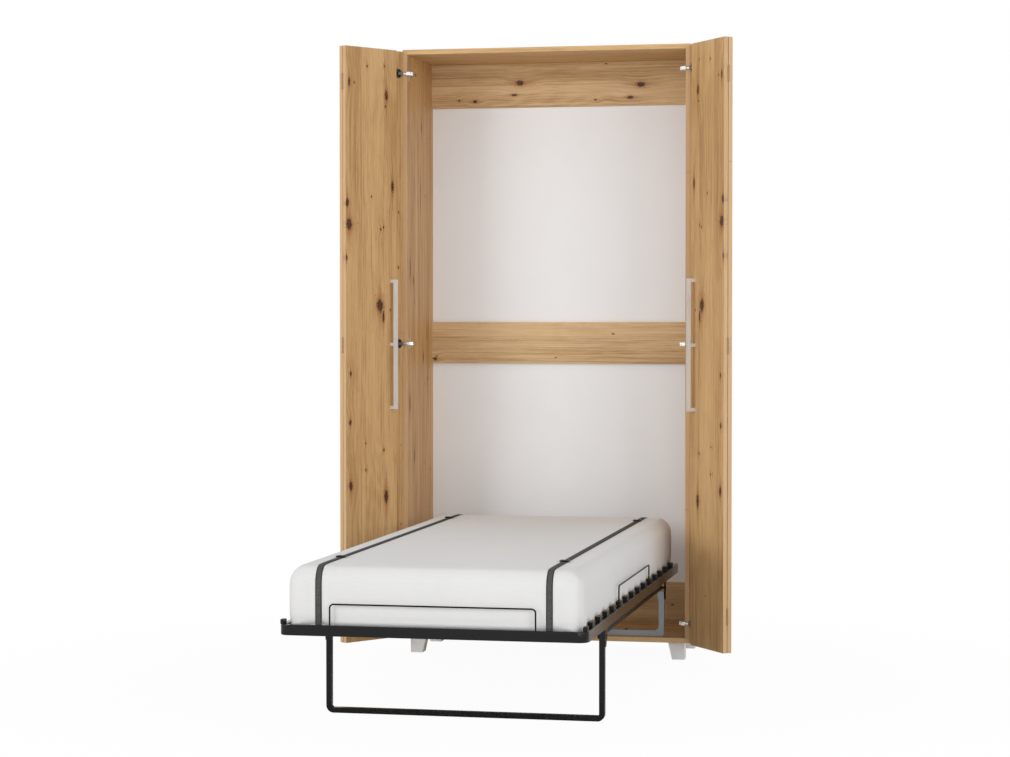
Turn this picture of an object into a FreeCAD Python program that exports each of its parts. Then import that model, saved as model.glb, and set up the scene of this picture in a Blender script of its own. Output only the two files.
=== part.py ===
import FreeCAD, Part
import Sketcher
import os
import re

doc = FreeCAD.newDocument("WallBed")
sheet = doc.addObject("Spreadsheet::Sheet", "Sizes")
os.makedirs("parts", exist_ok=True)

# X runs to the right, Y back towards the wall and Z up. X is 0 in the middle of the
# cabinet and Z is 0 on the floor. Pieces are drawn with Y 0 at the cabinet's front
# edge, and each kept node is then moved so that Y is 0 in the middle of the footprint.
sizes = {
    # cabinet boards
    "cabinet_wide": 1088,
    "cabinet_high": 2206,
    "cabinet_deep": 421,
    "board": 18,
    "back_sheet_thick": 3,
    "back_sheet_margin": 2,
    "top_rail_high": 169,
    "middle_rail_high": 160.5,
    "middle_rail_rise": 1089,
    "bottom_rail_high": 162,
    # cabinet feet
    "foot_high": 66,
    "foot_deep": 50,
    "foot_outer_inset": 23,
    "foot_top_wide": 61,
    "foot_sole_wide": 46,
    "front_foot_inset": 28,
    "rear_foot_inset": 31,
    # screws that hold the boards
    "board_screw_radius": 3.5,
    "board_screw_head_radius": 5,
    "board_screw_head_thick": 4,
    "board_screw_long": 50,
    "board_screw_inset": 60,
    "screw_play": 0.1,
    "pick_reach": 0.05,
    "pin_play": 0.05,
    "side_play": 0.3,
    # wall brackets
    "bracket_thick": 3,
    "bracket_wide": 40,
    "bracket_deep": 40,
    "bracket_high": 40,
    "bracket_inset": 124,
    "bracket_fillet": 2,
    "wall_hole_radius": 3,
    "wall_hole_rise": 25,
    "bracket_screw_radius": 2,
    "bracket_screw_head_radius": 4,
    "bracket_screw_head_thick": 2.5,
    "bracket_screw_long": 15,
    "bracket_screw_spread": 24,
    "bracket_screw_back": 25,
    # cup hinges between cabinet and doors
    "hinge_plate_thick": 3,
    "hinge_plate_deep": 16,
    "hinge_plate_high": 45,
    "hinge_plate_back": 29,
    "hinge_arm_stand": 21,
    "hinge_arm_back": 55,
    "hinge_arm_front": 5,
    "hinge_arm_high": 12,
    "hinge_neck_inset": 2,
    "hinge_neck_wide": 16,
    "hinge_nose_overhang": 3,
    "hinge_nose_wide": 17,
    "hinge_nose_front": 12,
    "hinge_nose_gap": 0.5,
    "hinge_nose_fillet": 3,
    "hinge_knuckle_radius": 3,
    "hinge_pin_radius": 1.5,
    "hinge_tongue_high": 6,
    "hinge_cheek_thick": 2.7,
    "hinge_cheek_long": 10,
    "hinge_low_inset": 72,
    "hinge_high_inset": 83,
    "cup_radius": 17.5,
    "cup_depth": 11.5,
    "cup_wall": 3,
    "cup_floor": 2,
    "cup_flange_radius": 18.5,
    "cup_flange_thick": 1,
    "cup_inset": 21.5,
    "cup_link_wide": 16,
    "cup_link_stand": 6.5,
    "cup_link_end": 4.5,
    # door leaves
    "leaf_thick": 16,
    "leaf_difference": 46,
    "leaf_bottom_show": 1,
    "leaf_top_show": 7,
    "leaf_side_show": 1,
    "leaf_gap": 2,
    "leaf_middle_gap": 1,
    "hinge_beyond_edge": 0.5,
    "hinge_in_face": 1.5,
    "door_angle": 125,
    # hinges and pins between the two leaves
    "fold_plate_thick": 0.9,
    "fold_plate_wide": 24,
    "fold_plate_high": 60,
    "fold_knuckle_radius": 3,
    "fold_pin_radius": 1.5,
    "fold_notch_play": 0.3,
    "fold_knuckle_gap": 0.2,
    "fold_hinge_inset": 130,
    # handles
    "handle_bar": 12.5,
    "handle_long": 484,
    "handle_rise": 925,
    "handle_finger_gap": 18.5,
    "handle_edge_inset": 20,
    "handle_edge_fillet": 1,
    "handle_screw_radius": 2,
    "handle_screw_head_radius": 4,
    "handle_screw_head_thick": 2,
    "handle_screw_bite": 12,
    # base frame on the cabinet floor
    "base_tube": 20,
    "base_side_gap": 13.5,
    "base_drop": 70,
    "base_inset": 45,
    "base_outer_bend": 9,
    "base_inner_bend": 18,
    "base_bolt_radius": 3,
    "base_bolt_head_radius": 5.5,
    "base_bolt_head_thick": 4,
    "base_bolt_bite": 14,
    "base_bolt_inset": 142.5,
    # plates and pivots between base frame and bed
    "pivot_back": 84,
    "pivot_high": 320,
    "link_forward": 34,
    "link_drop": 56,
    "pivot_plate_thick": 4.5,
    "pivot_plate_radius": 14,
    "link_plate_thick": 4.5,
    "link_plate_radius": 9,
    "plate_hold": 30,
    "link_pin_radius": 4,
    "link_pin_head_radius": 7,
    "link_pin_head_thick": 2,
    "link_pin_stop_radius": 6,
    "pivot_bolt_radius": 5,
    "pivot_bolt_head_radius": 8,
    "pivot_bolt_head_thick": 4.7,
    "pivot_bush_radius": 9,
    "pivot_nut_thick": 5,
    # linkage rods
    "link_rod_long": 1413,
    "link_rod_thick": 6,
    "link_rod_wide": 12,
    "link_eye_radius": 8,
    "link_eye_play": 0.3,
    # gas springs
    "gas_side_gap": 4,
    "gas_reach": 484,
    "gas_below_pivot": 8,
    "gas_tube_radius": 8.5,
    "gas_tube_wall": 2,
    "gas_tube_start": 14,
    "gas_tube_long": 286,
    "gas_tube_floor": 8,
    "gas_piston_radius": 4,
    "gas_piston_from": 150,
    "gas_piston_head_long": 10,
    "gas_eye_radius": 8,
    "gas_eye_wide": 10,
    "gas_neck_radius": 4.8,
    "gas_neck_start": 5,
    "gas_stud_radius": 5,
    "gas_stud_tail_radius": 3,
    "gas_stud_rivet_radius": 3.7,
    "gas_stud_rivet_thick": 2,
    # support leg
    "leg_side_gap": 4,
    "leg_tube": 18,
    "leg_drop": 23,
    "leg_outer_bend": 24,
    "leg_inner_bend": 6,
    "leg_offset": 17,
    "leg_lug_thick": 2.4,
    "leg_lug_radius": 12,
    "leg_lug_hold": 30,
    "leg_boss_radius": 8.5,
    "leg_bolt_radius": 4,
    "leg_bolt_head_radius": 7,
    "leg_bolt_head_thick": 4.5,
    # bed frame
    "bed_side_gap": 52,
    "bed_long": 2040,
    "bed_behind_pivot": 117,
    "rail_thick": 18,
    "rail_high": 33,
    "rail_below_pivot": 14,
    "rail_wall": 2,
    "rail_outer_bend": 30,
    "rail_inner_bend": 12,
    "rail_corner_run": 34,
    "cross_tube_wide": 20,
    "cross_tube_high": 25,
    "cross_tube_drop": 5,
    # slats and their caps
    "slat_count": 14,
    "slat_wide": 40,
    "slat_thick": 8,
    "slat_first": 146,
    "slat_last": 120.8,
    "cap_wide": 43,
    "cap_thick": 16,
    "cap_high": 14,
    "cap_floor": 3,
    "cap_overhang": 4,
    "cap_wall": 3,
    "cap_play": 0.2,
    # stops on the frame's foot corners
    "stop_wide": 14,
    "stop_deep": 26,
    "stop_high": 14,
    "stop_inset": 11,
    "stop_fillet": 3,
    # mattress
    "mattress_side_inset": 24,
    "mattress_high": 165.7,
    "mattress_foot_gap": 25,
    "mattress_head_gap": 15,
    "mattress_corner": 30,
    "mattress_crown": 90,
    "soft_gap": 0.3,
    # straps, their sliders and anchors
    "strap_wide": 20,
    "strap_thick": 2,
    "strap_inset": 95,
    "strap_foot_drop": 27,
    "slider_wide": 30,
    "slider_long": 28,
    "slider_thick": 4,
    "slider_bar": 5,
    "slider_foot_reach": 284,
    "slider_head_reach": 241,
    "anchor_wide": 30,
    "anchor_high": 22,
    "anchor_low": 6,
    "anchor_plate": 3,
    "anchor_fillet": 1,
    # wire hoops
    "hoop_wire_radius": 2.5,
    "hoop_bend": 12,
    "foot_hoop_high": 66,
    "foot_hoop_inset": 158,
    "side_hoop_high": 69,
    "slats_before_hoop_count": 4,
    "slats_along_hoop_count": 5,
    "side_hoop_start_gap": 16.1,
    "side_hoop_end_gap": 21.1,
}

# places that follow from the sizes above
places = {
    "half_wide": "cabinet_wide / 2",
    "inner_half": "half_wide - board",
    "bed_wide": "2 * (inner_half - bed_side_gap)",
    "mattress_wide": "bed_wide - 2 * mattress_side_inset",
    "mattress_long": "bed_long - mattress_foot_gap - mattress_head_gap",
    "strap_place": "mattress_wide / 2 - strap_inset",
    "foot_hoop_wide": "bed_wide - 2 * foot_hoop_inset",
    "bracket_place": "half_wide - bracket_inset",
    "cabinet_floor": "foot_high + board",
    "cabinet_top": "foot_high + cabinet_high",
    "ceiling": "cabinet_top - board",
    "rail_front": "cabinet_deep - board",
    "middle_rail_top": "middle_rail_rise + middle_rail_high",
    "sheet_joint": "middle_rail_rise + middle_rail_high / 2",
    "foot_outer": "half_wide - foot_outer_inset",
    "rear_foot_front": "cabinet_deep - rear_foot_inset - foot_deep",
    "wall_face": "cabinet_deep + back_sheet_thick",
    "leaf_bottom": "foot_high + leaf_bottom_show",
    "leaf_top": "cabinet_top - leaf_top_show",
    "door_axis_x": "half_wide - leaf_side_show + hinge_beyond_edge",
    "door_axis_y": "-leaf_gap - hinge_in_face",
    "leaves_wide": "half_wide - leaf_side_show - leaf_gap - leaf_middle_gap",
    "outer_leaf_wide": "(leaves_wide + leaf_difference) / 2",
    "inner_leaf_wide": "(leaves_wide - leaf_difference) / 2",
    "leaf_start": "hinge_beyond_edge",
    "leaf_end": "leaf_start + outer_leaf_wide",
    "leaf_back": "hinge_in_face",
    "leaf_front": "leaf_back - leaf_thick",
    "fold_u": "leaf_end + leaf_gap / 2",
    "fold_v": "leaf_back + leaf_gap / 2",
    "folded_start": "leaf_end - inner_leaf_wide",
    "folded_back": "leaf_back + leaf_gap",
    "folded_face": "folded_back + leaf_thick",
    "handle_u": "folded_start + handle_edge_inset",
    "handle_top": "handle_rise + handle_long",
    "bar_back": "folded_face + handle_finger_gap",
    "hinge_low": "leaf_bottom + hinge_low_inset",
    "hinge_middle": "sheet_joint",
    "hinge_high": "leaf_top - hinge_high_inset",
    "cup_u": "leaf_start + cup_inset",
    "hinge_inside": "hinge_tongue_high / 2 + side_play",
    "hinge_outside": "hinge_inside + hinge_cheek_thick",
    "fold_low": "leaf_bottom + fold_hinge_inset",
    "fold_middle": "(leaf_bottom + leaf_top) / 2",
    "fold_high": "leaf_top - fold_hinge_inset",
    "rail_outer": "bed_wide / 2",
    "rail_inner": "rail_outer - rail_thick",
    "base_wide": "2 * (rail_inner - base_side_gap)",
    "base_half": "base_wide / 2",
    "base_bolt_spread": "base_half - base_bolt_inset",
    "base_back": "base_inset + base_tube",
    "base_high": "pivot_high - base_drop - cabinet_floor",
    "base_top": "cabinet_floor + base_high",
    "link_y": "pivot_back - link_forward",
    "link_z": "pivot_high - link_drop",
    "rail_bottom": "pivot_high - rail_below_pivot",
    "rail_top": "rail_bottom + rail_high",
    "rail_hollow": "rail_inner + rail_wall",
    "bed_head": "pivot_back + bed_behind_pivot",
    "bed_foot": "bed_head - bed_long",
    "side_rail_start": "bed_foot + rail_corner_run",
    "head_rail_front": "bed_head - rail_thick",
    "cross_tube_reach": "bed_long / 2",
    "cross_tube_back": "bed_foot + cross_tube_reach + cross_tube_wide / 2",
    "cross_tube_front": "cross_tube_back - cross_tube_wide",
    "leg_pivot_y": "pivot_back - link_rod_long",
    "leg_link_y": "link_y - link_rod_long",
    "leg_y": "leg_link_y - leg_offset",
    "leg_front": "leg_y - leg_tube / 2",
    "leg_back": "leg_y + leg_tube / 2",
    "leg_wide": "2 * (rail_inner - leg_side_gap)",
    "leg_half": "leg_wide / 2",
    "leg_high": "pivot_high - leg_drop",
    "leg_post_inner": "leg_half - leg_tube",
    "lug_outer": "leg_half + leg_lug_thick",
    "link_rod_outer": "leg_post_inner - side_play",
    "link_rod_inner": "link_rod_outer - link_rod_thick",
    "pivot_plate_outer": "base_half + pivot_plate_thick",
    "upright_inner": "base_half - base_tube",
    "link_plate_inner": "upright_inner - link_plate_thick",
    "plate_low": "base_top - plate_hold",
    "gas_place": "link_plate_inner - gas_side_gap - gas_eye_wide / 2",
    "gas_eye_inner": "gas_place - gas_eye_wide / 2",
    "gas_eye_outer": "gas_place + gas_eye_wide / 2",
    "gas_run": "gas_reach - link_forward",
    "gas_rise": "link_drop - gas_below_pivot",
    "gas_long": "sqrt(gas_run * gas_run + gas_rise * gas_rise)",
    "gas_y": "pivot_back - gas_reach",
    "gas_z": "pivot_high - gas_below_pivot",
    "slat_pitch": "(bed_long - slat_first - slat_last) / (slat_count - 1)",
    "hoop_slat": "slat_first + slats_before_hoop_count * slat_pitch - cap_wide / 2",
    "side_hoop_start": "hoop_slat - side_hoop_start_gap",
    "side_hoop_end": "hoop_slat + slats_along_hoop_count * slat_pitch - side_hoop_end_gap",
    "side_hoop_long": "side_hoop_end - side_hoop_start",
    "slat_under": "rail_top + cap_floor",
    "slat_top": "slat_under + slat_thick",
    "cap_inner": "rail_inner - cap_overhang",
    "cap_outer": "cap_inner + cap_thick",
    "slat_end": "cap_outer - cap_wall",
    "mattress_under": "slat_top + soft_gap",
    "mattress_top": "mattress_under + mattress_high",
    "mattress_foot": "bed_foot + mattress_foot_gap",
    "mattress_head": "mattress_foot + mattress_long",
    "strap_foot": "mattress_foot - soft_gap - strap_thick",
    "strap_head": "mattress_head + soft_gap + strap_thick",
    "strap_top": "mattress_top + soft_gap + strap_thick",
    "foot_rail_inner": "bed_foot + rail_thick",
    "anchor_bottom": "rail_bottom + anchor_low",
    "hoop_foot_y": "bed_foot + rail_thick / 2",
    "hoop_side_x": "rail_outer - rail_thick / 2",
    "footprint_shift": "-(bed_foot + wall_face) / 2",
}


def fill_sheet():
    row = 0
    for name, value in sizes.items():
        row += 1
        sheet.set("A%d" % row, name)
        sheet.set("B%d" % row, str(value))
        sheet.setAlias("B%d" % row, name)
    for name, text in places.items():
        row += 1
        sheet.set("A%d" % row, name)
        sheet.set("B%d" % row, "=" + text)
        sheet.setAlias("B%d" % row, name)
    doc.recompute()


fill_sheet()
aliases = set(sizes) | set(places)
nodes = []


def bound(text):
    # an expression in size names, with each name looked up in the sheet
    return re.sub(
        r"[a-z][a-z_0-9]*",
        lambda found: "Sizes." + found.group() if found.group() in aliases else found.group(),
        str(text),
    )


def number(text):
    return float(sheet.evalExpression(bound(text)))


def keep(shape, name):
    # each finished piece is moved so that Y is 0 in the middle of the footprint
    shape.Label = name + "_drawn"
    held = doc.addObject("Part::Compound", "kept")
    held.Label = name
    held.Links = [shape]
    held.setExpression("Placement.Base.y", bound("footprint_shift"))
    nodes.append(held)
    return shape


def move(shape, x="0", y="0", z="0"):
    for axis, text in zip("xyz", (x, y, z)):
        shape.setExpression("Placement.Base." + axis, bound(text))
    return shape


def box(name, x, y, z):
    solid = doc.addObject("Part::Box", name)
    for side, span in zip(("Length", "Width", "Height"), (x, y, z)):
        solid.setExpression(side, bound("(%s) - (%s)" % (span[1], span[0])))
    return move(solid, x[0], y[0], z[0])


turns = {
    "x": FreeCAD.Rotation(FreeCAD.Vector(0, 1, 0), 90),
    "y": FreeCAD.Rotation(FreeCAD.Vector(1, 0, 0), -90),
    "z": FreeCAD.Rotation(),
}


def bar(name, axis, centre, radius, span):
    # a round bar along one axis, centred on the two coordinates across it
    solid = doc.addObject("Part::Cylinder", name)
    solid.Placement = FreeCAD.Placement(FreeCAD.Vector(), turns[axis])
    solid.setExpression("Radius", bound(radius))
    solid.setExpression("Height", bound("(%s) - (%s)" % (span[1], span[0])))
    places_xyz = list(centre)
    places_xyz.insert("xyz".index(axis), span[0])
    return move(solid, *places_xyz)


def fuse(name, *shapes):
    solid = doc.addObject("Part::MultiFuse", name)
    solid.Shapes = list(shapes)
    solid.Refine = True
    return solid


def group(name, *shapes):
    solids = doc.addObject("Part::Compound", name)
    solids.Links = list(shapes)
    return solids


def cut(name, base, *tools):
    solid = doc.addObject("Part::Cut", name)
    solid.Base = base
    solid.Tool = tools[0] if len(tools) == 1 else group(name + "_tools", *tools)
    return solid


def mirror(name, source):
    # the same piece on the other side of the middle plane
    solid = doc.addObject("Part::Mirroring", name)
    solid.Source = source
    solid.Normal = FreeCAD.Vector(1, 0, 0)
    return solid


def outline(body, plane, corners, level):
    # a closed sketch of straight sides, every corner tied to the sheet
    sketch = body.newObject("Sketcher::SketchObject", body.Name + "_outline")
    support = [item for item in body.Origin.OriginFeatures if item.Role == plane + "_Plane"]
    sketch.AttachmentSupport = [(support[0], "")]
    sketch.MapMode = "FlatFace"
    sketch.setExpression("AttachmentOffset.Base.z", bound(level))
    points = [FreeCAD.Vector(number(u), number(v), 0) for u, v in corners]
    count = len(points)
    for index in range(count):
        side = Part.LineSegment(points[index], points[(index + 1) % count])
        sketch.addGeometry(side, False)
    for index in range(count):
        sketch.addConstraint(Sketcher.Constraint("Coincident", index, 2, (index + 1) % count, 1))
    for index, corner in enumerate(corners):
        for kind, text in zip(("DistanceX", "DistanceY"), corner):
            rule = Sketcher.Constraint(kind, -1, 1, index, 1, number(text))
            place = sketch.addConstraint(rule)
            sketch.setExpression("Constraints[%d]" % place, bound(text))
    return sketch


def soften(body, feature, plane, corners, radius):
    # round the edges that stand on the named corners of the outline
    flat = {"XY": "xy", "XZ": "xz", "YZ": "yz"}[plane]
    wanted = [(number(u), number(v)) for u, v in corners]
    near = number("pick_reach")
    chosen = []
    for index, edge in enumerate(feature.Shape.Edges):
        ends = [[getattr(vertex.Point, axis) for axis in flat] for vertex in edge.Vertexes]
        for place in wanted:
            if len(ends) == 2 and all(
                abs(end[0] - place[0]) < near and abs(end[1] - place[1]) < near for end in ends
            ):
                chosen.append("Edge%d" % (index + 1))
    rounded = body.newObject("PartDesign::Fillet", body.Name + "_rounding")
    rounded.Base = (feature, chosen)
    rounded.setExpression("Radius", bound(radius))
    doc.recompute()
    return rounded


def plate(name, plane, corners, span, rounds=()):
    # an outline padded between two levels, with some of its corners rounded
    body = doc.addObject("PartDesign::Body", name)
    level = "-(%s)" % span[1] if plane == "XZ" else span[0]
    sketch = outline(body, plane, corners, level)
    pad = body.newObject("PartDesign::Pad", name + "_pad")
    pad.Profile = sketch
    pad.setExpression("Length", bound("(%s) - (%s)" % (span[1], span[0])))
    doc.recompute()
    feature = pad
    for picks, radius in rounds:
        feature = soften(body, feature, plane, [corners[pick] for pick in picks], radius)
    return body


def screw(name, axis, centre, radius, head_radius, span, head_span):
    shank = bar(name + "_shank", axis, centre, radius, span)
    head = bar(name + "_head", axis, centre, head_radius, head_span)
    return fuse(name, shank, head)


def less(text, step):
    return "%s - %s" % (text, step)


def more(text, step):
    return "%s + %s" % (text, step)


# cabinet boards, rails and back
def board_screws(side):
    # long screws through the top and bottom boards into a side panel
    made = []
    holes = []
    x = "%s(half_wide - board / 2)" % side
    for y in ("board_screw_inset", "cabinet_deep - board_screw_inset"):
        for end in ("top", "bottom"):
            if end == "top":
                head = ("cabinet_top - board_screw_head_thick", "cabinet_top")
                span = ("cabinet_top - board_screw_long", "cabinet_top - board_screw_head_thick")
            else:
                head = ("foot_high", "foot_high + board_screw_head_thick")
                span = ("foot_high + board_screw_head_thick", "foot_high + board_screw_long")
            made.append(screw("board_screw", "z", (x, y), "board_screw_radius",
                              "board_screw_head_radius", span, head))
            holes.append(screw("board_screw_hole", "z", (x, y), "board_screw_radius + screw_play",
                               "board_screw_head_radius + screw_play", span, head))
    return made, holes


left_screws, left_holes = board_screws("-")
right_screws, right_holes = board_screws("")
keep(group("carcass_screws", *left_screws, *right_screws), "carcass_screws")

bracket_base = ("cabinet_top", "cabinet_top + bracket_thick")
bracket_screws = []
bracket_holes = []
for side in ("-", ""):
    for shift in ("-", "+"):
        spot = ("%sbracket_place %s bracket_screw_spread / 2" % (side, shift),
                "wall_face - bracket_screw_back")
        span = ("%s - bracket_screw_long" % bracket_base[1], bracket_base[1])
        head = (bracket_base[1], more(bracket_base[1], "bracket_screw_head_thick"))
        bracket_screws.append(screw("bracket_screw", "z", spot, "bracket_screw_radius",
                                    "bracket_screw_head_radius", span, head))
        bracket_holes.append(bar("bracket_screw_hole", "z", spot, "bracket_screw_radius + screw_play",
                                 ("%s - board" % bracket_base[0], bracket_base[1])))
keep(group("bracket_screws", *bracket_screws), "bracket_screws")


def base_bolt_holes(name, span):
    return [bar(name, "z", (x, "base_inset + base_tube / 2"), "base_bolt_radius + screw_play", span)
            for x in ("-base_bolt_spread", "0", "base_bolt_spread")]


panel = box("side_panel", ("-half_wide", "-inner_half"), ("0", "cabinet_deep"), ("cabinet_floor", "ceiling"))
left_panel = keep(cut("side_panel_left", panel, *left_holes), "side_panel_left")
keep(mirror("side_panel_right", left_panel), "side_panel_right")

whole_width = ("-half_wide", "half_wide")
top = box("top_board_blank", whole_width, ("0", "cabinet_deep"), ("ceiling", "cabinet_top"))
keep(cut("top_board", top, *left_holes, *right_holes, *bracket_holes), "top_board")
bottom = box("bottom_board_blank", whole_width, ("0", "cabinet_deep"), ("foot_high", "cabinet_floor"))
floor_holes = base_bolt_holes("floor_hole", ("foot_high", "cabinet_floor"))
keep(cut("bottom_board", bottom, *left_holes, *right_holes, *floor_holes), "bottom_board")

for name, low, high in (
    ("top_rail", "ceiling - top_rail_high", "ceiling"),
    ("middle_rail", "middle_rail_rise", "middle_rail_top"),
    ("bottom_rail", "cabinet_floor", "cabinet_floor + bottom_rail_high"),
):
    keep(box(name, ("-inner_half", "inner_half"), ("rail_front", "cabinet_deep"), (low, high)), name)

sheet_width = ("-half_wide + back_sheet_margin", "half_wide - back_sheet_margin")
for name, low, high in (
    ("lower_back_sheet", "foot_high + back_sheet_margin", "sheet_joint"),
    ("upper_back_sheet", "sheet_joint", "cabinet_top - back_sheet_margin"),
):
    keep(box(name, sheet_width, ("cabinet_deep", "wall_face"), (low, high)), name)


# feet with one slanted side
def foot(side, front):
    corners = [
        ("%s foot_outer" % side, "0"),
        ("%s (foot_outer - foot_sole_wide)" % side, "0"),
        ("%s (foot_outer - foot_top_wide)" % side, "foot_high"),
        ("%s foot_outer" % side, "foot_high"),
    ]
    return plate("foot", "XZ", corners, (front, more(front, "foot_deep")))


keep(group("cabinet_feet", *[foot(side, front) for side in ("-", "1 *")
                             for front in ("front_foot_inset", "rear_foot_front")]), "cabinet_feet")


# angle brackets that hold the cabinet to the wall
def wall_bracket(side):
    back = "wall_face"
    low = "cabinet_top"
    corners = [
        ("%s - bracket_deep" % back, low),
        (back, low),
        (back, "%s + bracket_high" % low),
        ("%s - bracket_thick" % back, "%s + bracket_high" % low),
        ("%s - bracket_thick" % back, "%s + bracket_thick" % low),
        ("%s - bracket_deep" % back, "%s + bracket_thick" % low),
    ]
    centre = "%sbracket_place" % side
    span = (less(centre, "bracket_wide / 2"), more(centre, "bracket_wide / 2"))
    blank = plate("bracket", "YZ", corners, span, [([4], "bracket_fillet")])
    wall_hole = bar("wall_hole", "y", (centre, "%s + wall_hole_rise" % low), "wall_hole_radius",
                    ("%s - bracket_deep" % back, more(back, "bracket_thick")))
    return cut("wall_bracket", blank, wall_hole, *bracket_holes)


keep(group("wall_brackets", wall_bracket("-"), wall_bracket("")), "wall_brackets")


# cup hinges: plates and arms on the side panels
def hinge_arm(level):
    wing_x = ("-inner_half", "-inner_half + hinge_plate_thick")
    wing = box("hinge_wing", wing_x, ("hinge_plate_back", "hinge_plate_back + hinge_plate_deep"),
               ("%s - hinge_plate_high / 2" % level, "%s + hinge_plate_high / 2" % level))
    high = ("%s - hinge_arm_high / 2" % level, "%s + hinge_arm_high / 2" % level)
    stand = "-inner_half + hinge_arm_stand"
    arm = box("hinge_arm", (wing_x[1], stand), ("hinge_arm_front", "hinge_arm_back"), high)
    neck_x = ("-inner_half + hinge_neck_inset", "-inner_half + hinge_neck_inset + hinge_neck_wide")
    neck = box("hinge_neck", neck_x, ("-hinge_nose_gap", "hinge_arm_front"), high)
    nose_low = "-inner_half - hinge_nose_overhang"
    nose_x = (nose_low, more(nose_low, "hinge_nose_wide"))
    nose_y = ("-hinge_nose_front", "-hinge_nose_gap")
    corners = [(nose_x[0], nose_y[0]), (nose_x[1], nose_y[0]), (nose_x[1], nose_y[1]), (nose_x[0], nose_y[1])]
    nose = plate("hinge_nose", "XY", corners, high, [([0, 1], "hinge_nose_fillet")])
    # the tongue reaches the door's axis and carries the pin
    axis = ("-door_axis_x", "door_axis_y")
    tongue_z = ("%s - hinge_tongue_high / 2" % level, "%s + hinge_tongue_high / 2" % level)
    tongue = box("hinge_tongue", (axis[0], nose_low),
                 ("%s - hinge_knuckle_radius" % axis[1], "%s + hinge_knuckle_radius" % axis[1]), tongue_z)
    knuckle = bar("hinge_knuckle", "z", axis, "hinge_knuckle_radius", tongue_z)
    pin = bar("hinge_pin", "z", axis, "hinge_pin_radius",
              ("%s - hinge_outside" % level, "%s + hinge_outside" % level))
    return fuse("hinge_arm_whole", wing, arm, neck, nose, tongue, knuckle, pin)


hinge_levels = ("hinge_low", "hinge_middle", "hinge_high")
left_arms = keep(group("hinge_arms_left", *[hinge_arm(level) for level in hinge_levels]), "hinge_arms_left")
keep(mirror("hinge_arms_right", left_arms), "hinge_arms_right")


# Door pieces are drawn with the left door closed, X along the leaf from the
# hinge axis and Y towards the cabinet, with the inner leaf already folded on
# the outer one. Each finished piece is then swung about the hinge axis.
def swing(shape, name):
    shape.Placement = FreeCAD.Placement(FreeCAD.Vector(), FreeCAD.Rotation(FreeCAD.Vector(0, 0, -1), 1))
    shape.setExpression("Placement.Rotation.Angle", bound("door_angle"))
    move(shape, "-door_axis_x", "door_axis_y")
    keep(shape, name + "_left")
    keep(mirror(name + "_right", shape), name + "_right")


def cup_pocket(level):
    return bar("cup_pocket", "y", ("cup_u", level), "cup_radius + screw_play",
               ("leaf_back - cup_depth - screw_play", "leaf_back"))


def hinge_recess(level):
    return box("hinge_recess", ("0", "cup_u - cup_radius + cup_wall"),
               ("-hinge_knuckle_radius - side_play", "leaf_back"),
               ("%s - hinge_outside - side_play" % level, "%s + hinge_outside + side_play" % level))


def fold_notch(level):
    return bar("fold_notch", "z", ("fold_u", "fold_v"), "fold_knuckle_radius + fold_notch_play",
               ("%s - fold_plate_high / 2 - fold_notch_play" % level,
                "%s + fold_plate_high / 2 + fold_notch_play" % level))


fold_levels = ("fold_low", "fold_middle", "fold_high")
notches = [fold_notch(level) for level in fold_levels]
leaf_z = ("leaf_bottom", "leaf_top")
outer_blank = box("outer_leaf_blank", ("leaf_start", "leaf_end"), ("leaf_front", "leaf_back"), leaf_z)
pockets = [make(level) for level in hinge_levels for make in (cup_pocket, hinge_recess)]
swing(cut("outer_leaf", outer_blank, *pockets, *notches), "outer_leaf")


def hinge_cup(level):
    cup = bar("cup", "y", ("cup_u", level), "cup_radius", ("leaf_back - cup_depth", "leaf_back"))
    flange = bar("cup_flange", "y", ("cup_u", level), "cup_flange_radius",
                 ("leaf_back", "leaf_back + cup_flange_thick"))
    bowl = bar("cup_bowl", "y", ("cup_u", level), "cup_radius - cup_wall",
               ("leaf_back - cup_depth + cup_floor", "leaf_back + cup_flange_thick"))
    shell = cut("cup_shell", fuse("cup_whole", cup, flange), bowl)
    link_z = ("%s - hinge_outside" % level, "%s + hinge_outside" % level)
    root = box("link_root", ("cup_u - cup_radius / 2", "cup_u + cup_link_wide / 2 - cup_wall"),
               ("leaf_back - cup_depth + cup_floor", "leaf_back + cup_flange_thick"), link_z)
    link = box("link", ("leaf_start + cup_link_end", "cup_u + cup_link_wide / 2 - cup_wall"),
               ("leaf_back + cup_flange_thick", "leaf_back + cup_link_stand"), link_z)
    # two cheeks run from the link to the pin, above and below the arm's tongue
    cheeks = []
    cheek_y = ("0", "leaf_back + cup_link_stand / 2")
    for span in ((link_z[0], less(level, "hinge_inside")), (more(level, "hinge_inside"), link_z[1])):
        cheeks.append(bar("link_eye", "z", ("0", "0"), "hinge_knuckle_radius", span))
        cheeks.append(box("link_cheek", ("0", "hinge_cheek_long"), cheek_y, span))
    bore = bar("link_bore", "z", ("0", "0"), "hinge_pin_radius + pin_play", link_z)
    return cut("hinge_cup", fuse("hinge_cup_blank", shell, root, link, *cheeks), bore)


swing(group("hinge_cups", *[hinge_cup(level) for level in hinge_levels]), "hinge_cups")


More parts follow.
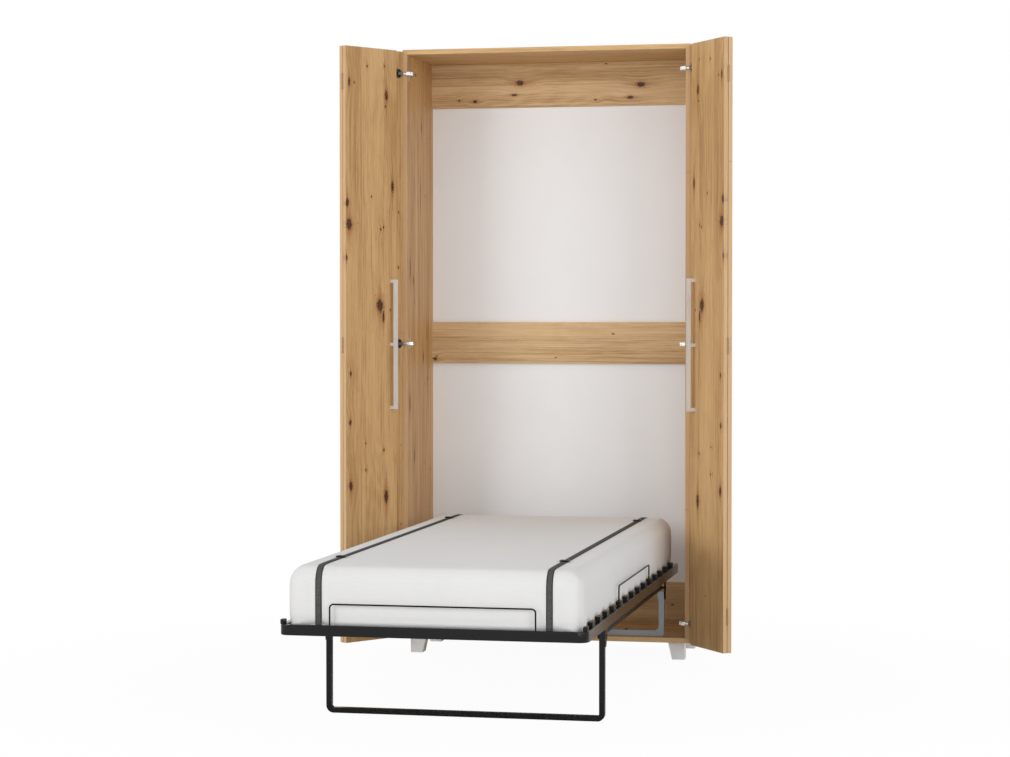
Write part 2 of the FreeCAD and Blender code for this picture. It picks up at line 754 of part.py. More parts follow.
# hinges between the two leaves: outer leaf has the end knuckles, inner leaf the middle one
def fold_half(level, on_outer):
    third = "fold_plate_high / 3"
    low = "%s - fold_plate_high / 2" % level
    high = "%s + fold_plate_high / 2" % level
    if on_outer:
        flat_y = ("leaf_back", "leaf_back + fold_plate_thick")
        spans = [(low, more(low, third) + " - fold_knuckle_gap"),
                 (less(high, third) + " + fold_knuckle_gap", high)]
    else:
        flat_y = ("folded_back - fold_plate_thick", "folded_back")
        spans = [(more(low, third), less(high, third))]
    strips = []
    for span in spans:
        strips.append(box("fold_tongue", ("leaf_end - fold_knuckle_radius", "fold_u"), flat_y, span))
        strips.append(bar("fold_knuckle", "z", ("fold_u", "fold_v"), "fold_knuckle_radius", span))
    flat_u = ("leaf_end - fold_plate_wide", "leaf_end - fold_knuckle_radius")
    flat = box("fold_flat", flat_u, flat_y, (low, high))
    bore = bar("fold_bore", "z", ("fold_u", "fold_v"), "fold_pin_radius + pin_play", (low, high))
    return cut("fold_half", fuse("fold_blank", flat, *strips), bore)


swing(group("fold_hinges_outer", *[fold_half(level, True) for level in fold_levels]), "fold_hinges_outer")
swing(group("fold_hinges_inner", *[fold_half(level, False) for level in fold_levels]), "fold_hinges_inner")
swing(group("fold_pins", *[bar("fold_pin", "z", ("fold_u", "fold_v"), "fold_pin_radius",
                               ("%s - fold_plate_high / 2" % level, "%s + fold_plate_high / 2" % level))
                           for level in fold_levels]), "fold_pins")

# inner leaves with handles
post_levels = ("handle_rise", "(handle_rise + handle_top - handle_bar) / 2", "handle_top - handle_bar")
screw_u = "handle_u + handle_bar / 2"


def handle_screw(name, level, play):
    centre = (screw_u, "%s + handle_bar / 2" % level)
    head = ("folded_back", "folded_back + handle_screw_head_thick")
    return screw(name, "y", centre, "handle_screw_radius + " + play, "handle_screw_head_radius + " + play,
                 (head[1], "folded_face + handle_screw_bite"), head)


inner_blank = box("inner_leaf_blank", ("folded_start", "leaf_end"), ("folded_back", "folded_face"), leaf_z)
screw_ways = [handle_screw("handle_screw_way", level, "screw_play") for level in post_levels]
swing(cut("inner_leaf", inner_blank, *notches, *screw_ways), "inner_leaf")

grip_x = ("handle_u", "handle_u + handle_bar")
grip = box("handle_grip", grip_x, ("bar_back", "bar_back + handle_bar"), ("handle_rise", "handle_top"))
posts = [box("handle_post", grip_x, ("folded_face", "bar_back"), (level, "%s + handle_bar" % level))
         for level in post_levels]
swing(cut("handle", fuse("handle_blank", grip, *posts), *screw_ways), "handle")
handle_screws = [handle_screw("handle_screw", level, "0") for level in post_levels]
swing(group("handle_screws", *handle_screws), "handle_screws")

# base frame, bolted to the cabinet floor
base_corners = [
    ("-base_half", "cabinet_floor"),
    ("base_half", "cabinet_floor"),
    ("base_half", "base_top"),
    ("upright_inner", "base_top"),
    ("upright_inner", "cabinet_floor + base_tube"),
    ("-upright_inner", "cabinet_floor + base_tube"),
    ("-upright_inner", "base_top"),
    ("-base_half", "base_top"),
]
base_blank = plate("base_frame_blank", "XZ", base_corners, ("base_inset", "base_back"),
                   [([0, 1], "base_outer_bend"), ([4, 5], "base_inner_bend")])
bolt_ways = base_bolt_holes("base_bolt_way", ("cabinet_floor", "cabinet_floor + base_tube"))
keep(cut("base_frame", base_blank, *bolt_ways), "base_frame")

base_bolts = []
for x in ("-base_bolt_spread", "0", "base_bolt_spread"):
    seat = "cabinet_floor + base_tube"
    base_bolts.append(screw("base_bolt", "z", (x, "base_inset + base_tube / 2"), "base_bolt_radius",
                            "base_bolt_head_radius", ("cabinet_floor - base_bolt_bite", seat),
                            (seat, "%s + base_bolt_head_thick" % seat)))
keep(group("base_frame_bolts", *base_bolts), "base_frame_bolts")


# plates on the uprights that carry the bed pivot and the linkage pin
def both_sides(name, make):
    left = make()
    keep(group(name, left, mirror(name + "_mirrored", left)), name)


def pin_hole(span):
    return bar("pin_hole", "x", ("link_y", "link_z"), "link_pin_radius + pin_play", span)


def pivot_plate():
    span = ("-pivot_plate_outer", "-base_half")
    corners = [
        ("base_inset", "plate_low"), ("base_back", "plate_low"), ("base_back", "link_z"),
        ("pivot_back + pivot_plate_radius / 2", "pivot_high - pivot_plate_radius"),
        ("pivot_back", "pivot_high"), ("pivot_back - pivot_plate_radius", "pivot_high"),
        ("base_inset - link_plate_radius / 2", "link_z + link_plate_radius"),
        ("base_inset - link_plate_radius / 2", "link_z - link_plate_radius"),
    ]
    flat = plate("pivot_flat", "YZ", corners, span)
    round_end = bar("pivot_end", "x", ("pivot_back", "pivot_high"), "pivot_plate_radius", span)
    bore = bar("pivot_bore", "x", ("pivot_back", "pivot_high"), "pivot_bolt_radius + pin_play", span)
    return cut("pivot_plate", fuse("pivot_blank", flat, round_end), bore, pin_hole(span))


def link_plate():
    span = ("-upright_inner", "-link_plate_inner")
    flat_z = ("plate_low", "link_z - link_plate_radius / 2")
    flat = box("link_flat", span, ("base_inset", "base_back"), flat_z)
    arch = bar("link_arch", "x", ("link_y + link_plate_radius / 3", "link_z"), "link_plate_radius", span)
    fill = box("link_fill", span, ("link_y - link_plate_radius / 2", "base_back"),
               ("base_top - link_plate_radius", "link_z"))
    return cut("link_plate", fuse("link_blank", flat, arch, fill), pin_hole(span))


both_sides("pivot_plates", pivot_plate)
both_sides("link_plates", link_plate)


# pins that carry the linkage rod and the gas spring's lower eye
def link_pin():
    centre = ("link_y", "link_z")
    outer = "-pivot_plate_outer"
    inner = "-gas_eye_inner + side_play"
    shank = bar("link_pin_shank", "x", centre, "link_pin_radius", (outer, inner))
    head_span = (less(outer, "link_pin_head_thick"), outer)
    head = bar("link_pin_head", "x", centre, "link_pin_head_radius", head_span)
    stop_span = (inner, more(inner, "link_pin_head_thick"))
    stop = bar("link_pin_stop", "x", centre, "link_pin_stop_radius", stop_span)
    return fuse("link_pin", shank, head, stop)


both_sides("link_pins", link_pin)


# bed pivot bolts, bushes and nuts
def pivot_bolt(centre, radius, head_radius, head_thick, head_face, tip):
    return screw("pivot_bolt", "x", centre, radius, head_radius, (tip, head_face),
                 (head_face, more(head_face, head_thick)))


bed_pivot = ("pivot_back", "pivot_high")
leg_pivot = ("leg_pivot_y", "pivot_high")
nut_face = "-rail_hollow - pivot_nut_thick"
pivot_bolts = [
    pivot_bolt(bed_pivot, "pivot_bolt_radius", "pivot_bolt_head_radius", "pivot_bolt_head_thick",
               "-base_half + side_play", nut_face),
    pivot_bolt(leg_pivot, "leg_bolt_radius", "leg_bolt_head_radius", "leg_bolt_head_thick",
               "-leg_half + side_play", nut_face),
]
right_bolts = [mirror("pivot_bolt_right", bolt) for bolt in pivot_bolts]
keep(group("pivot_bolts", *pivot_bolts, *right_bolts), "pivot_bolts")


def ring(name, centre, outer_radius, inner_radius, span):
    return cut(name, bar(name + "_outer", "x", centre, outer_radius, span),
               bar(name + "_bore", "x", centre, inner_radius, span))


bushes = [
    ring("bush", bed_pivot, "pivot_bush_radius", "pivot_bolt_radius + screw_play",
         ("-rail_inner", "-pivot_plate_outer - side_play")),
    ring("bush", leg_pivot, "pivot_bush_radius", "leg_bolt_radius + screw_play",
         ("-rail_inner", "-lug_outer - side_play")),
]
keep(group("pivot_bushes", *bushes, *[mirror("bush_right", bush) for bush in bushes]), "pivot_bushes")
nut_span = (nut_face, "-rail_hollow")
nuts = [
    ring("nut", bed_pivot, "pivot_bolt_head_radius", "pivot_bolt_radius + screw_play", nut_span),
    ring("nut", leg_pivot, "leg_bolt_head_radius", "leg_bolt_radius + screw_play", nut_span),
]
keep(group("pivot_nuts", *nuts, *[mirror("nut_right", nut) for nut in nuts]), "pivot_nuts")


# linkage rods from the base frame to the support leg
def link_rod():
    span = ("-link_rod_outer", "-link_rod_inner")
    flat = box("link_rod_flat", span, ("leg_link_y", "link_y"),
               ("link_z - link_rod_wide / 2", "link_z + link_rod_wide / 2"))
    eyes = [bar("link_eye", "x", (y, "link_z"), "link_eye_radius", span) for y in ("leg_link_y", "link_y")]
    leg_hole = bar("leg_eye_hole", "x", ("leg_link_y", "link_z"), "link_pin_radius + link_eye_play", span)
    return cut("link_rod", fuse("link_rod_blank", flat, *eyes), pin_hole(span), leg_hole)


both_sides("link_rods", link_rod)


# gas springs, drawn along -Y from the lower eye and tilted about it
def tilt(shape):
    shape.Placement = FreeCAD.Placement(FreeCAD.Vector(), FreeCAD.Rotation(FreeCAD.Vector(-1, 0, 0), 1))
    shape.setExpression("Placement.Rotation.Angle", bound("atan(gas_rise / gas_run)"))
    return move(shape, "-gas_place", "link_y", "link_z")


def along(name, radius, start, end):
    return bar(name, "y", ("0", "0"), radius, ("-(%s)" % end, "-(%s)" % start))


def eye(name, reach, bore_radius):
    span = ("-gas_eye_wide / 2", "gas_eye_wide / 2")
    ring_outer = bar(name, "x", ("-(%s)" % reach, "0"), "gas_eye_radius", span)
    return ring_outer, bar(name + "_bore", "x", ("-(%s)" % reach, "0"), bore_radius, span)


tube_end = "gas_tube_start + gas_tube_long"


def gas_cylinder():
    tube = along("gas_tube", "gas_tube_radius", "gas_tube_start", tube_end)
    neck = along("gas_neck", "gas_neck_radius", "gas_neck_start", "gas_tube_start")
    lower_eye, lower_bore = eye("gas_lower_eye", "0", "link_pin_radius + pin_play")
    bore = along("gas_bore", "gas_tube_radius - gas_tube_wall", "gas_tube_start + gas_tube_floor",
                 tube_end + " - gas_tube_floor")
    mouth = along("gas_mouth", "gas_piston_radius + pin_play", tube_end + " - gas_tube_floor", tube_end)
    blank = fuse("gas_cylinder_blank", tube, neck, lower_eye)
    return tilt(cut("gas_cylinder", blank, lower_bore, bore, mouth))


def gas_piston():
    head = along("gas_piston_head", "gas_tube_radius - gas_tube_wall - pin_play", "gas_piston_from",
                 "gas_piston_from + gas_piston_head_long")
    rod = along("gas_piston_rod", "gas_piston_radius", "gas_piston_from", "gas_long - gas_eye_radius / 2")
    upper_eye, upper_bore = eye("gas_upper_eye", "gas_long", "gas_stud_tail_radius")
    return tilt(fuse("gas_piston", head, rod, cut("gas_eye_open", upper_eye, upper_bore)))


both_sides("gas_cylinders", gas_cylinder)
both_sides("gas_pistons", gas_piston)


# studs on the side rails that face the gas springs' upper eyes
def gas_stud():
    centre = ("gas_y", "gas_z")
    body = bar("gas_stud_body", "x", centre, "gas_stud_radius", ("-rail_inner", "-gas_eye_outer - side_play"))
    tail = bar("gas_stud_tail", "x", centre, "gas_stud_tail_radius", ("-rail_hollow", "-rail_inner"))
    rivet = bar("gas_stud_rivet", "x", centre, "gas_stud_rivet_radius",
                ("-rail_hollow - gas_stud_rivet_thick", "-rail_hollow"))
    return fuse("gas_stud", body, tail, rivet)


both_sides("gas_studs", gas_stud)


# support leg: one bent tube with a boss and a lug at the top of each post
def leg_lug():
    span = ("-lug_outer", "-leg_half")
    corners = [
        ("leg_front", "link_z - leg_lug_hold"), ("leg_back", "link_z - leg_lug_hold"),
        ("leg_link_y + leg_lug_radius", "link_z"), ("leg_pivot_y + leg_lug_radius", "pivot_high"),
        ("leg_pivot_y - leg_lug_radius", "pivot_high"), ("leg_front", "leg_high"),
    ]
    flat = plate("lug_flat", "YZ", corners, span)
    round_end = bar("lug_end", "x", leg_pivot, "leg_lug_radius", span)
    boss_x = ("-leg_half", "-leg_post_inner")
    boss = bar("lug_boss", "x", ("leg_link_y", "link_z"), "leg_boss_radius", boss_x)
    return fuse("leg_lug", flat, round_end, boss)


leg_corners = [
    ("-leg_half", "0"), ("leg_half", "0"), ("leg_half", "leg_high"), ("leg_post_inner", "leg_high"),
    ("leg_post_inner", "leg_tube"), ("-leg_post_inner", "leg_tube"), ("-leg_post_inner", "leg_high"),
    ("-leg_half", "leg_high"),
]
leg_bar = plate("leg_bar", "XZ", leg_corners, ("leg_front", "leg_back"),
                [([0, 1], "leg_outer_bend"), ([4, 5], "leg_inner_bend")])
lug = leg_lug()
leg_holes = []
for span in (("-lug_outer", "-leg_post_inner"), ("leg_post_inner", "lug_outer")):
    leg_holes.append(bar("leg_bolt_hole", "x", leg_pivot, "leg_bolt_radius + pin_play", span))
    leg_holes.append(bar("leg_pin_hole", "x", ("leg_link_y", "link_z"), "link_pin_radius + pin_play", span))
leg_blank = fuse("leg_blank", leg_bar, lug, mirror("lug_right", lug))
keep(cut("support_leg", leg_blank, *leg_holes), "support_leg")


def leg_link_pin():
    centre = ("leg_link_y", "link_z")
    inner = "-link_rod_inner + side_play"
    outer = "-lug_outer"
    shank = bar("leg_pin_shank", "x", centre, "link_pin_radius", (outer, inner))
    head_span = (less(outer, "link_pin_head_thick / 2"), outer)
    head = bar("leg_pin_head", "x", centre, "link_pin_stop_radius", head_span)
    stop_span = (inner, more(inner, "link_pin_head_thick"))
    stop = bar("leg_pin_stop", "x", centre, "link_pin_stop_radius", stop_span)
    return fuse("leg_link_pin", shank, head, stop)


both_sides("leg_link_pins", leg_link_pin)

# bed frame
rail_z = ("rail_bottom", "rail_top")
hollow_z = ("rail_bottom + rail_wall", "rail_top - rail_wall")
rail_blank = box("side_rail_blank", ("-rail_outer", "-rail_inner"), ("side_rail_start", "bed_head"), rail_z)
rail_inside = box("side_rail_inside", ("-rail_outer + rail_wall", "-rail_hollow"),
                  ("side_rail_start", "bed_head"), hollow_z)
rail_ways = [
    bar("rail_way", "x", spot, radius + " + screw_play", ("-rail_hollow", "-rail_inner"))
    for spot, radius in ((bed_pivot, "pivot_bolt_radius"), (leg_pivot, "leg_bolt_radius"),
                         (("gas_y", "gas_z"), "gas_stud_tail_radius"))
]
left_rail = keep(cut("side_rail_left", rail_blank, rail_inside, *rail_ways), "side_rail_left")
keep(mirror("side_rail_right", left_rail), "side_rail_right")

foot_corners = [
    ("-rail_outer", "bed_foot"), ("rail_outer", "bed_foot"), ("rail_outer", "side_rail_start"),
    ("rail_inner", "side_rail_start"), ("rail_inner", "foot_rail_inner"), ("-rail_inner", "foot_rail_inner"),
    ("-rail_inner", "side_rail_start"), ("-rail_outer", "side_rail_start"),
]
keep(plate("foot_rail", "XY", foot_corners, rail_z,
           [([0, 1], "rail_outer_bend"), ([4, 5], "rail_inner_bend")]), "foot_rail")
cross_x = ("-rail_inner", "rail_inner")
keep(box("head_rail", cross_x, ("head_rail_front", "bed_head"), rail_z), "head_rail")
cross_z = ("rail_top - cross_tube_drop - cross_tube_high", "rail_top - cross_tube_drop")
keep(box("cross_tube", cross_x, ("cross_tube_front", "cross_tube_back"), cross_z), "cross_tube")


# slats in plastic caps along both side rails
def slat_middle(index):
    return "bed_foot + slat_first + %d * slat_pitch" % index


def slat_cap(index):
    middle = slat_middle(index)
    shell_y = (less(middle, "cap_wide / 2"), more(middle, "cap_wide / 2"))
    shell = box("cap_shell", ("-cap_outer", "-cap_inner"), shell_y, ("rail_top", "rail_top + cap_high"))
    slot = box("cap_slot", ("-slat_end - cap_play", "-cap_inner"),
               ("%s - slat_wide / 2 - cap_play" % middle, "%s + slat_wide / 2 + cap_play" % middle),
               ("slat_under", "slat_top + cap_play"))
    return cut("slat_cap", shell, slot)


slats = []
caps = []
for index in range(sizes["slat_count"]):
    middle = slat_middle(index)
    slat_y = (less(middle, "slat_wide / 2"), more(middle, "slat_wide / 2"))
    slats.append(box("slat", ("-slat_end", "slat_end"), slat_y, ("slat_under", "slat_top")))
    caps.append(slat_cap(index))
keep(group("slats", *slats), "slats")
keep(group("slat_caps", *caps, *[mirror("slat_cap_right", cap) for cap in caps]), "slat_caps")


# low plastic stops on the frame's foot corners
def corner_stop():
    x = ("-rail_outer + rail_thick / 2 - stop_wide / 2", "-rail_outer + rail_thick / 2 + stop_wide / 2")
    y = ("bed_foot + stop_inset", "bed_foot + stop_inset + stop_deep")
    corners = [(x[0], y[0]), (x[1], y[0]), (x[1], y[1]), (x[0], y[1])]
    span = ("rail_top", "rail_top + stop_high")
    return plate("stop_blank", "XY", corners, span, [([0, 1, 2, 3], "stop_fillet")])


both_sides("corner_stops", corner_stop)

# Mattress: a loft through level sections. The shares give each section's height
# up the mattress and how far it draws in from the widest, as a part of the crown.
rise_shares = (0, 0.03, 0.085, 0.157, 0.71, 0.80, 0.88, 0.935, 0.972, 1)
inset_shares = (0.133, 0.055, 0.011, 0, 0, 0.033, 0.11, 0.233, 0.444, 1)


def section(rise_share, inset_share):
    body = doc.addObject("PartDesign::Body", "mattress_section")
    inset = "%s * mattress_crown" % inset_share
    x = "(mattress_wide / 2 - %s)" % inset
    low = "(mattress_foot + %s)" % inset
    high = "(mattress_head - %s)" % inset
    sketch = body.newObject("Sketcher::SketchObject", "section")
    support = [item for item in body.Origin.OriginFeatures if item.Role == "XY_Plane"]
    sketch.AttachmentSupport = [(support[0], "")]
    sketch.MapMode = "FlatFace"
    sketch.setExpression("AttachmentOffset.Base.z", bound("mattress_under + %s * mattress_high" % rise_share))
    corner_ends = [
        (("-%s + mattress_corner" % x, low), ("%s - mattress_corner" % x, low)),
        ((x, "%s + mattress_corner" % low), (x, "%s - mattress_corner" % high)),
        (("%s - mattress_corner" % x, high), ("-%s + mattress_corner" % x, high)),
        (("-" + x, "%s - mattress_corner" % high), ("-" + x, "%s + mattress_corner" % low)),
    ]
    radius = number("mattress_corner")
    centres = [
        (number(x) - radius, number(low) + radius), (number(x) - radius, number(high) - radius),
        (-number(x) + radius, number(high) - radius), (-number(x) + radius, number(low) + radius),
    ]
    lines = [[FreeCAD.Vector(number(u), number(v), 0) for u, v in pair] for pair in corner_ends]
    for index in range(4):
        sketch.addGeometry(Part.LineSegment(*lines[index]), False)
        start, end = lines[index][1], lines[(index + 1) % 4][0]
        centre = FreeCAD.Vector(*centres[index], 0)
        outward = ((start + end) / 2 - centre).normalize()
        sketch.addGeometry(Part.Arc(start, centre + outward * radius, end), False)
    for index in range(4):
        line, arc, following = 2 * index, 2 * index + 1, (2 * index + 2) % 8
        starts_here = (sketch.Geometry[arc].StartPoint - lines[index][1]).Length < radius / 2
        first, last = (1, 2) if starts_here else (2, 1)
        sketch.addConstraint(Sketcher.Constraint("Coincident", line, 2, arc, first))
        sketch.addConstraint(Sketcher.Constraint("Coincident", arc, last, following, 1))
        for point, corner in zip((1, 2), corner_ends[index]):
            for kind, text in zip(("DistanceX", "DistanceY"), corner):
                place = sketch.addConstraint(Sketcher.Constraint(kind, -1, 1, line, point, number(text)))
                sketch.setExpression("Constraints[%d]" % place, bound(text))
        place = sketch.addConstraint(Sketcher.Constraint("Radius", arc, radius))
        sketch.setExpression("Constraints[%d]" % place, bound("mattress_corner"))
    return sketch


sections = [section(rise, inset) for rise, inset in zip(rise_shares, inset_shares)]
mattress = doc.addObject("Part::Loft", "mattress")
mattress.Sections = sections
mattress.Solid = True
mattress.Ruled = True
keep(mattress, "mattress")


# straps over the mattress, following its outline from the foot rail to the head rail
def strap_points(gap):
    # up the foot end, over the top and down the head end, at one distance from the mattress
    foot_side = []
    head_side = []
    for rise, inset in list(zip(rise_shares, inset_shares))[4:]:
        step = "%s * mattress_crown" % inset
        level = "mattress_under + %s * mattress_high + %s" % (rise, gap)
        foot_side.append(("mattress_foot + %s - (%s)" % (step, gap), level))
        head_side.append(("mattress_head - %s + (%s)" % (step, gap), level))
    start = ("mattress_foot - (%s)" % gap, "rail_top - strap_foot_drop")
    end = ("mattress_head + (%s)" % gap, "rail_top + anchor_plate")
    return [start] + foot_side + head_side[::-1] + [end]


def strap():
    under = strap_points("soft_gap")
    over = strap_points("soft_gap + strap_thick")
    span = ("-strap_place - strap_wide / 2", "-strap_place + strap_wide / 2")
    return plate("strap", "YZ", over + under[::-1], span)


both_sides("straps", strap)


def slider(middle):
    low = "strap_top"
    x = ("-strap_place - slider_wide / 2", "-strap_place + slider_wide / 2")
    y = ("%s - slider_long / 2" % middle, "%s + slider_long / 2" % middle)
    corners = [(x[0], y[0]), (x[1], y[0]), (x[1], y[1]), (x[0], y[1])]
    high = (low, "%s + slider_thick" % low)
    blank = plate("slider_blank", "XY", corners, high, [([0, 1, 2, 3], "slider_bar / 2")])
    slot_x = ("%s + slider_bar" % x[0], "%s - slider_bar" % x[1])
    slots = [
        box("slider_slot", slot_x, ("%s + slider_bar" % y[0], "%s - slider_bar / 2" % middle), high),
        box("slider_slot", slot_x, ("%s + slider_bar / 2" % middle, "%s - slider_bar" % y[1]), high),
    ]
    return cut("slider", blank, *slots)


sliders = [slider("bed_foot + slider_foot_reach"), slider("bed_head - slider_head_reach")]
keep(group("strap_sliders", *sliders, *[mirror("slider_right", item) for item in sliders]), "strap_sliders")

# anchors that hold the straps' ends on the foot rail and the head rail
anchor_x = ("-strap_place - anchor_wide / 2", "-strap_place + anchor_wide / 2")
foot_anchor = box("foot_anchor", anchor_x, ("foot_rail_inner", "strap_foot"),
                  ("anchor_bottom", "anchor_bottom + anchor_high"))
head_anchor = box("head_anchor", anchor_x, ("head_rail_front + anchor_fillet", "bed_head - anchor_fillet"),
                  ("rail_top", "rail_top + anchor_plate"))
anchors = [foot_anchor, head_anchor]
keep(group("strap_anchors", *anchors, *[mirror("anchor_right", item) for item in anchors]), "strap_anchors")


# wire hoops standing on the bed frame
def hoop(name, start, end, foot_level, high):
    # drawn in the X and Z plane; the caller turns it along Y where it runs so
    top = "(%s + %s - hoop_wire_radius)" % (foot_level, high)
    bend_level = "%s - hoop_bend" % top
    pieces = [
        bar(name + "_leg", "z", (x, "0"), "hoop_wire_radius", (foot_level, bend_level)) for x in (start, end)
    ]
    pieces.append(bar(name + "_top", "x", ("0", top), "hoop_wire_radius",
                      ("%s + hoop_bend" % start, "%s - hoop_bend" % end)))
    upright = FreeCAD.Rotation(FreeCAD.Vector(1, 0, 0), 90)
    about = FreeCAD.Rotation(FreeCAD.Vector(0, 0, 1), 180)
    for x, turn in (("%s + hoop_bend" % start, about * upright), ("%s - hoop_bend" % end, upright)):
        bend = doc.addObject("Part::Torus", name + "_bend")
        bend.Placement = FreeCAD.Placement(FreeCAD.Vector(), turn)
        bend.setExpression("Radius1", bound("hoop_bend"))
        bend.setExpression("Radius2", bound("hoop_wire_radius"))
        bend.Angle3 = 90
        pieces.append(move(bend, x, "0", bend_level))
    return fuse(name, *pieces)


foot_hoop = hoop("foot_hoop", "-foot_hoop_wide / 2", "foot_hoop_wide / 2", "rail_top", "foot_hoop_high")
keep(move(foot_hoop, "0", "hoop_foot_y"), "foot_hoop")
hoop_start = "(bed_foot + side_hoop_start)"
side_hoop = hoop("side_hoop", hoop_start, "(%s + side_hoop_long)" % hoop_start, "rail_top", "side_hoop_high")
side_hoop.Placement = FreeCAD.Placement(FreeCAD.Vector(), FreeCAD.Rotation(FreeCAD.Vector(0, 0, 1), 90))
move(side_hoop, "-hoop_side_x")
keep(side_hoop, "side_hoop_left")
keep(mirror("side_hoop_right", side_hoop), "side_hoop_right")

doc.recompute()
for item in doc.Objects:
    if "Invalid" in item.State or "Error" in item.State:
        raise RuntimeError("%s is in the state %s" % (item.Label, item.State))
for node in nodes:
    if node.Shape.isNull() or not node.Shape.isValid():
        raise RuntimeError("%s has no valid shape" % node.Label)
for node in nodes:
    node.Shape.exportStep("parts/%s.step" % node.Label)
    print("%s: %d solids, volume %.0f" % (node.Label, len(node.Shape.Solids), node.Shape.Volume))
print("%d nodes" % len(nodes))
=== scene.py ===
import math

import bmesh
import bpy
from mathutils import Matrix, Vector
from mathutils.bvhtree import BVHTree


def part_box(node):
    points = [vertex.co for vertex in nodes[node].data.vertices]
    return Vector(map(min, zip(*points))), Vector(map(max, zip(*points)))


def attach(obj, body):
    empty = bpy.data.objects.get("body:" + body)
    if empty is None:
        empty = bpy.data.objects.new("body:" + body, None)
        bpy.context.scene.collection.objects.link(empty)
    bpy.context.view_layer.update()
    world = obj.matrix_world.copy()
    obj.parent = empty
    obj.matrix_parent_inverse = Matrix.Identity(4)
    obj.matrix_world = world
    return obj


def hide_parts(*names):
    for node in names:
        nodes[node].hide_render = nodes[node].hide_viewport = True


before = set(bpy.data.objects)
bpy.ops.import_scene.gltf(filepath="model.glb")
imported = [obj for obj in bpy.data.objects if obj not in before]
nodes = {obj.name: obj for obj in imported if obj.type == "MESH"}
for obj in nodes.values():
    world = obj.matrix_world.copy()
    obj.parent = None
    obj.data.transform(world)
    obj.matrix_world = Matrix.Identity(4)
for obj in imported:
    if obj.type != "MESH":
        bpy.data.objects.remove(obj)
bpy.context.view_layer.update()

scene = bpy.context.scene
print("frame loaded")

# camera at the photograph's viewing angle, in metres and radians
cameraValues = {
    "place": (1.6567, -8.1225, 1.2631),
    "yaw": -0.20193,
    "pitch": -0.024806,
    "lens": 86.01,
    "sensor": 36,
    "farthest": 200,
}


def makeCamera(values):
    camera = bpy.data.cameras.new("camera")
    camera.lens = values["lens"]
    camera.sensor_width = values["sensor"]
    camera.clip_end = values["farthest"]
    holder = bpy.data.objects.new("camera", camera)
    scene.collection.objects.link(holder)
    turn = Matrix.Rotation(-values["yaw"], 4, "Z")
    tilt = Matrix.Rotation(math.pi / 2 + values["pitch"], 4, "X")
    holder.matrix_world = Matrix.Translation(values["place"]) @ turn @ tilt
    scene.camera = holder


makeCamera(cameraValues)

# light, floor and background
stageValues = {
    "worldStrength": 0.66,
    # power, size, place and aim of each lamp
    "lamps": {
        "keyLight": (94, 2.6, (5.0, -4.6, 2.2), (0, -0.4, 0.8)),
        "fillLight": (138, 2.6, (-4.6, -5.4, 2.5), (0, -0.2, 1.0)),
        "lowLight": (48, 3.0, (1.6, -6.4, 1.0), (0.3, 0.2, 0.7)),
    },
    "white": (1, 1, 1, 1),
    "floorColour": (0.86, 0.86, 0.86, 1),
    "floorHalf": 30,
    # the shadow near the object fades into plain white between these two reaches
    "fadeFrom": 1.0,
    "fadeTo": 2.7,
    "shadowShare": 0.955,
}


def addArea(name, power, size, spot, aim):
    lamp = bpy.data.lights.new(name, "AREA")
    lamp.shape = "SQUARE"
    lamp.size = size
    lamp.energy = power
    holder = bpy.data.objects.new(name, lamp)
    scene.collection.objects.link(holder)
    holder.location = spot
    holder.rotation_euler = (Vector(aim) - Vector(spot)).to_track_quat("-Z", "Y").to_euler()


def place(tree, kind, inputs=None, **settings):
    made = tree.nodes.new(kind)
    for key, value in settings.items():
        setattr(made, key, value)
    for key, value in (inputs or {}).items():
        if isinstance(value, bpy.types.NodeSocket):
            tree.links.new(value, made.inputs[key])
        else:
            made.inputs[key].default_value = value
    return made


def math2(tree, operation, a, b=0.0):
    return place(tree, "ShaderNodeMath", {0: a, 1: b}, operation=operation).outputs[0]


def share(tree, factor, amount):
    return math2(tree, "MULTIPLY", factor, amount)


def ramp(tree, value, low, high, toLow=0.0, toHigh=1.0):
    inputs = {"Value": value, "From Min": low, "From Max": high, "To Min": toLow, "To Max": toHigh}
    return place(tree, "ShaderNodeMapRange", inputs, clamp=True).outputs[0]


def mix(tree, factor, a, b, blend="MIX"):
    made = place(tree, "ShaderNodeMix", {"Factor": factor}, data_type="RGBA", blend_type=blend)
    for index, value in ((6, a), (7, b)):
        if isinstance(value, bpy.types.NodeSocket):
            tree.links.new(value, made.inputs[index])
        else:
            made.inputs[index].default_value = (*value, 1)
    return made.outputs[2]


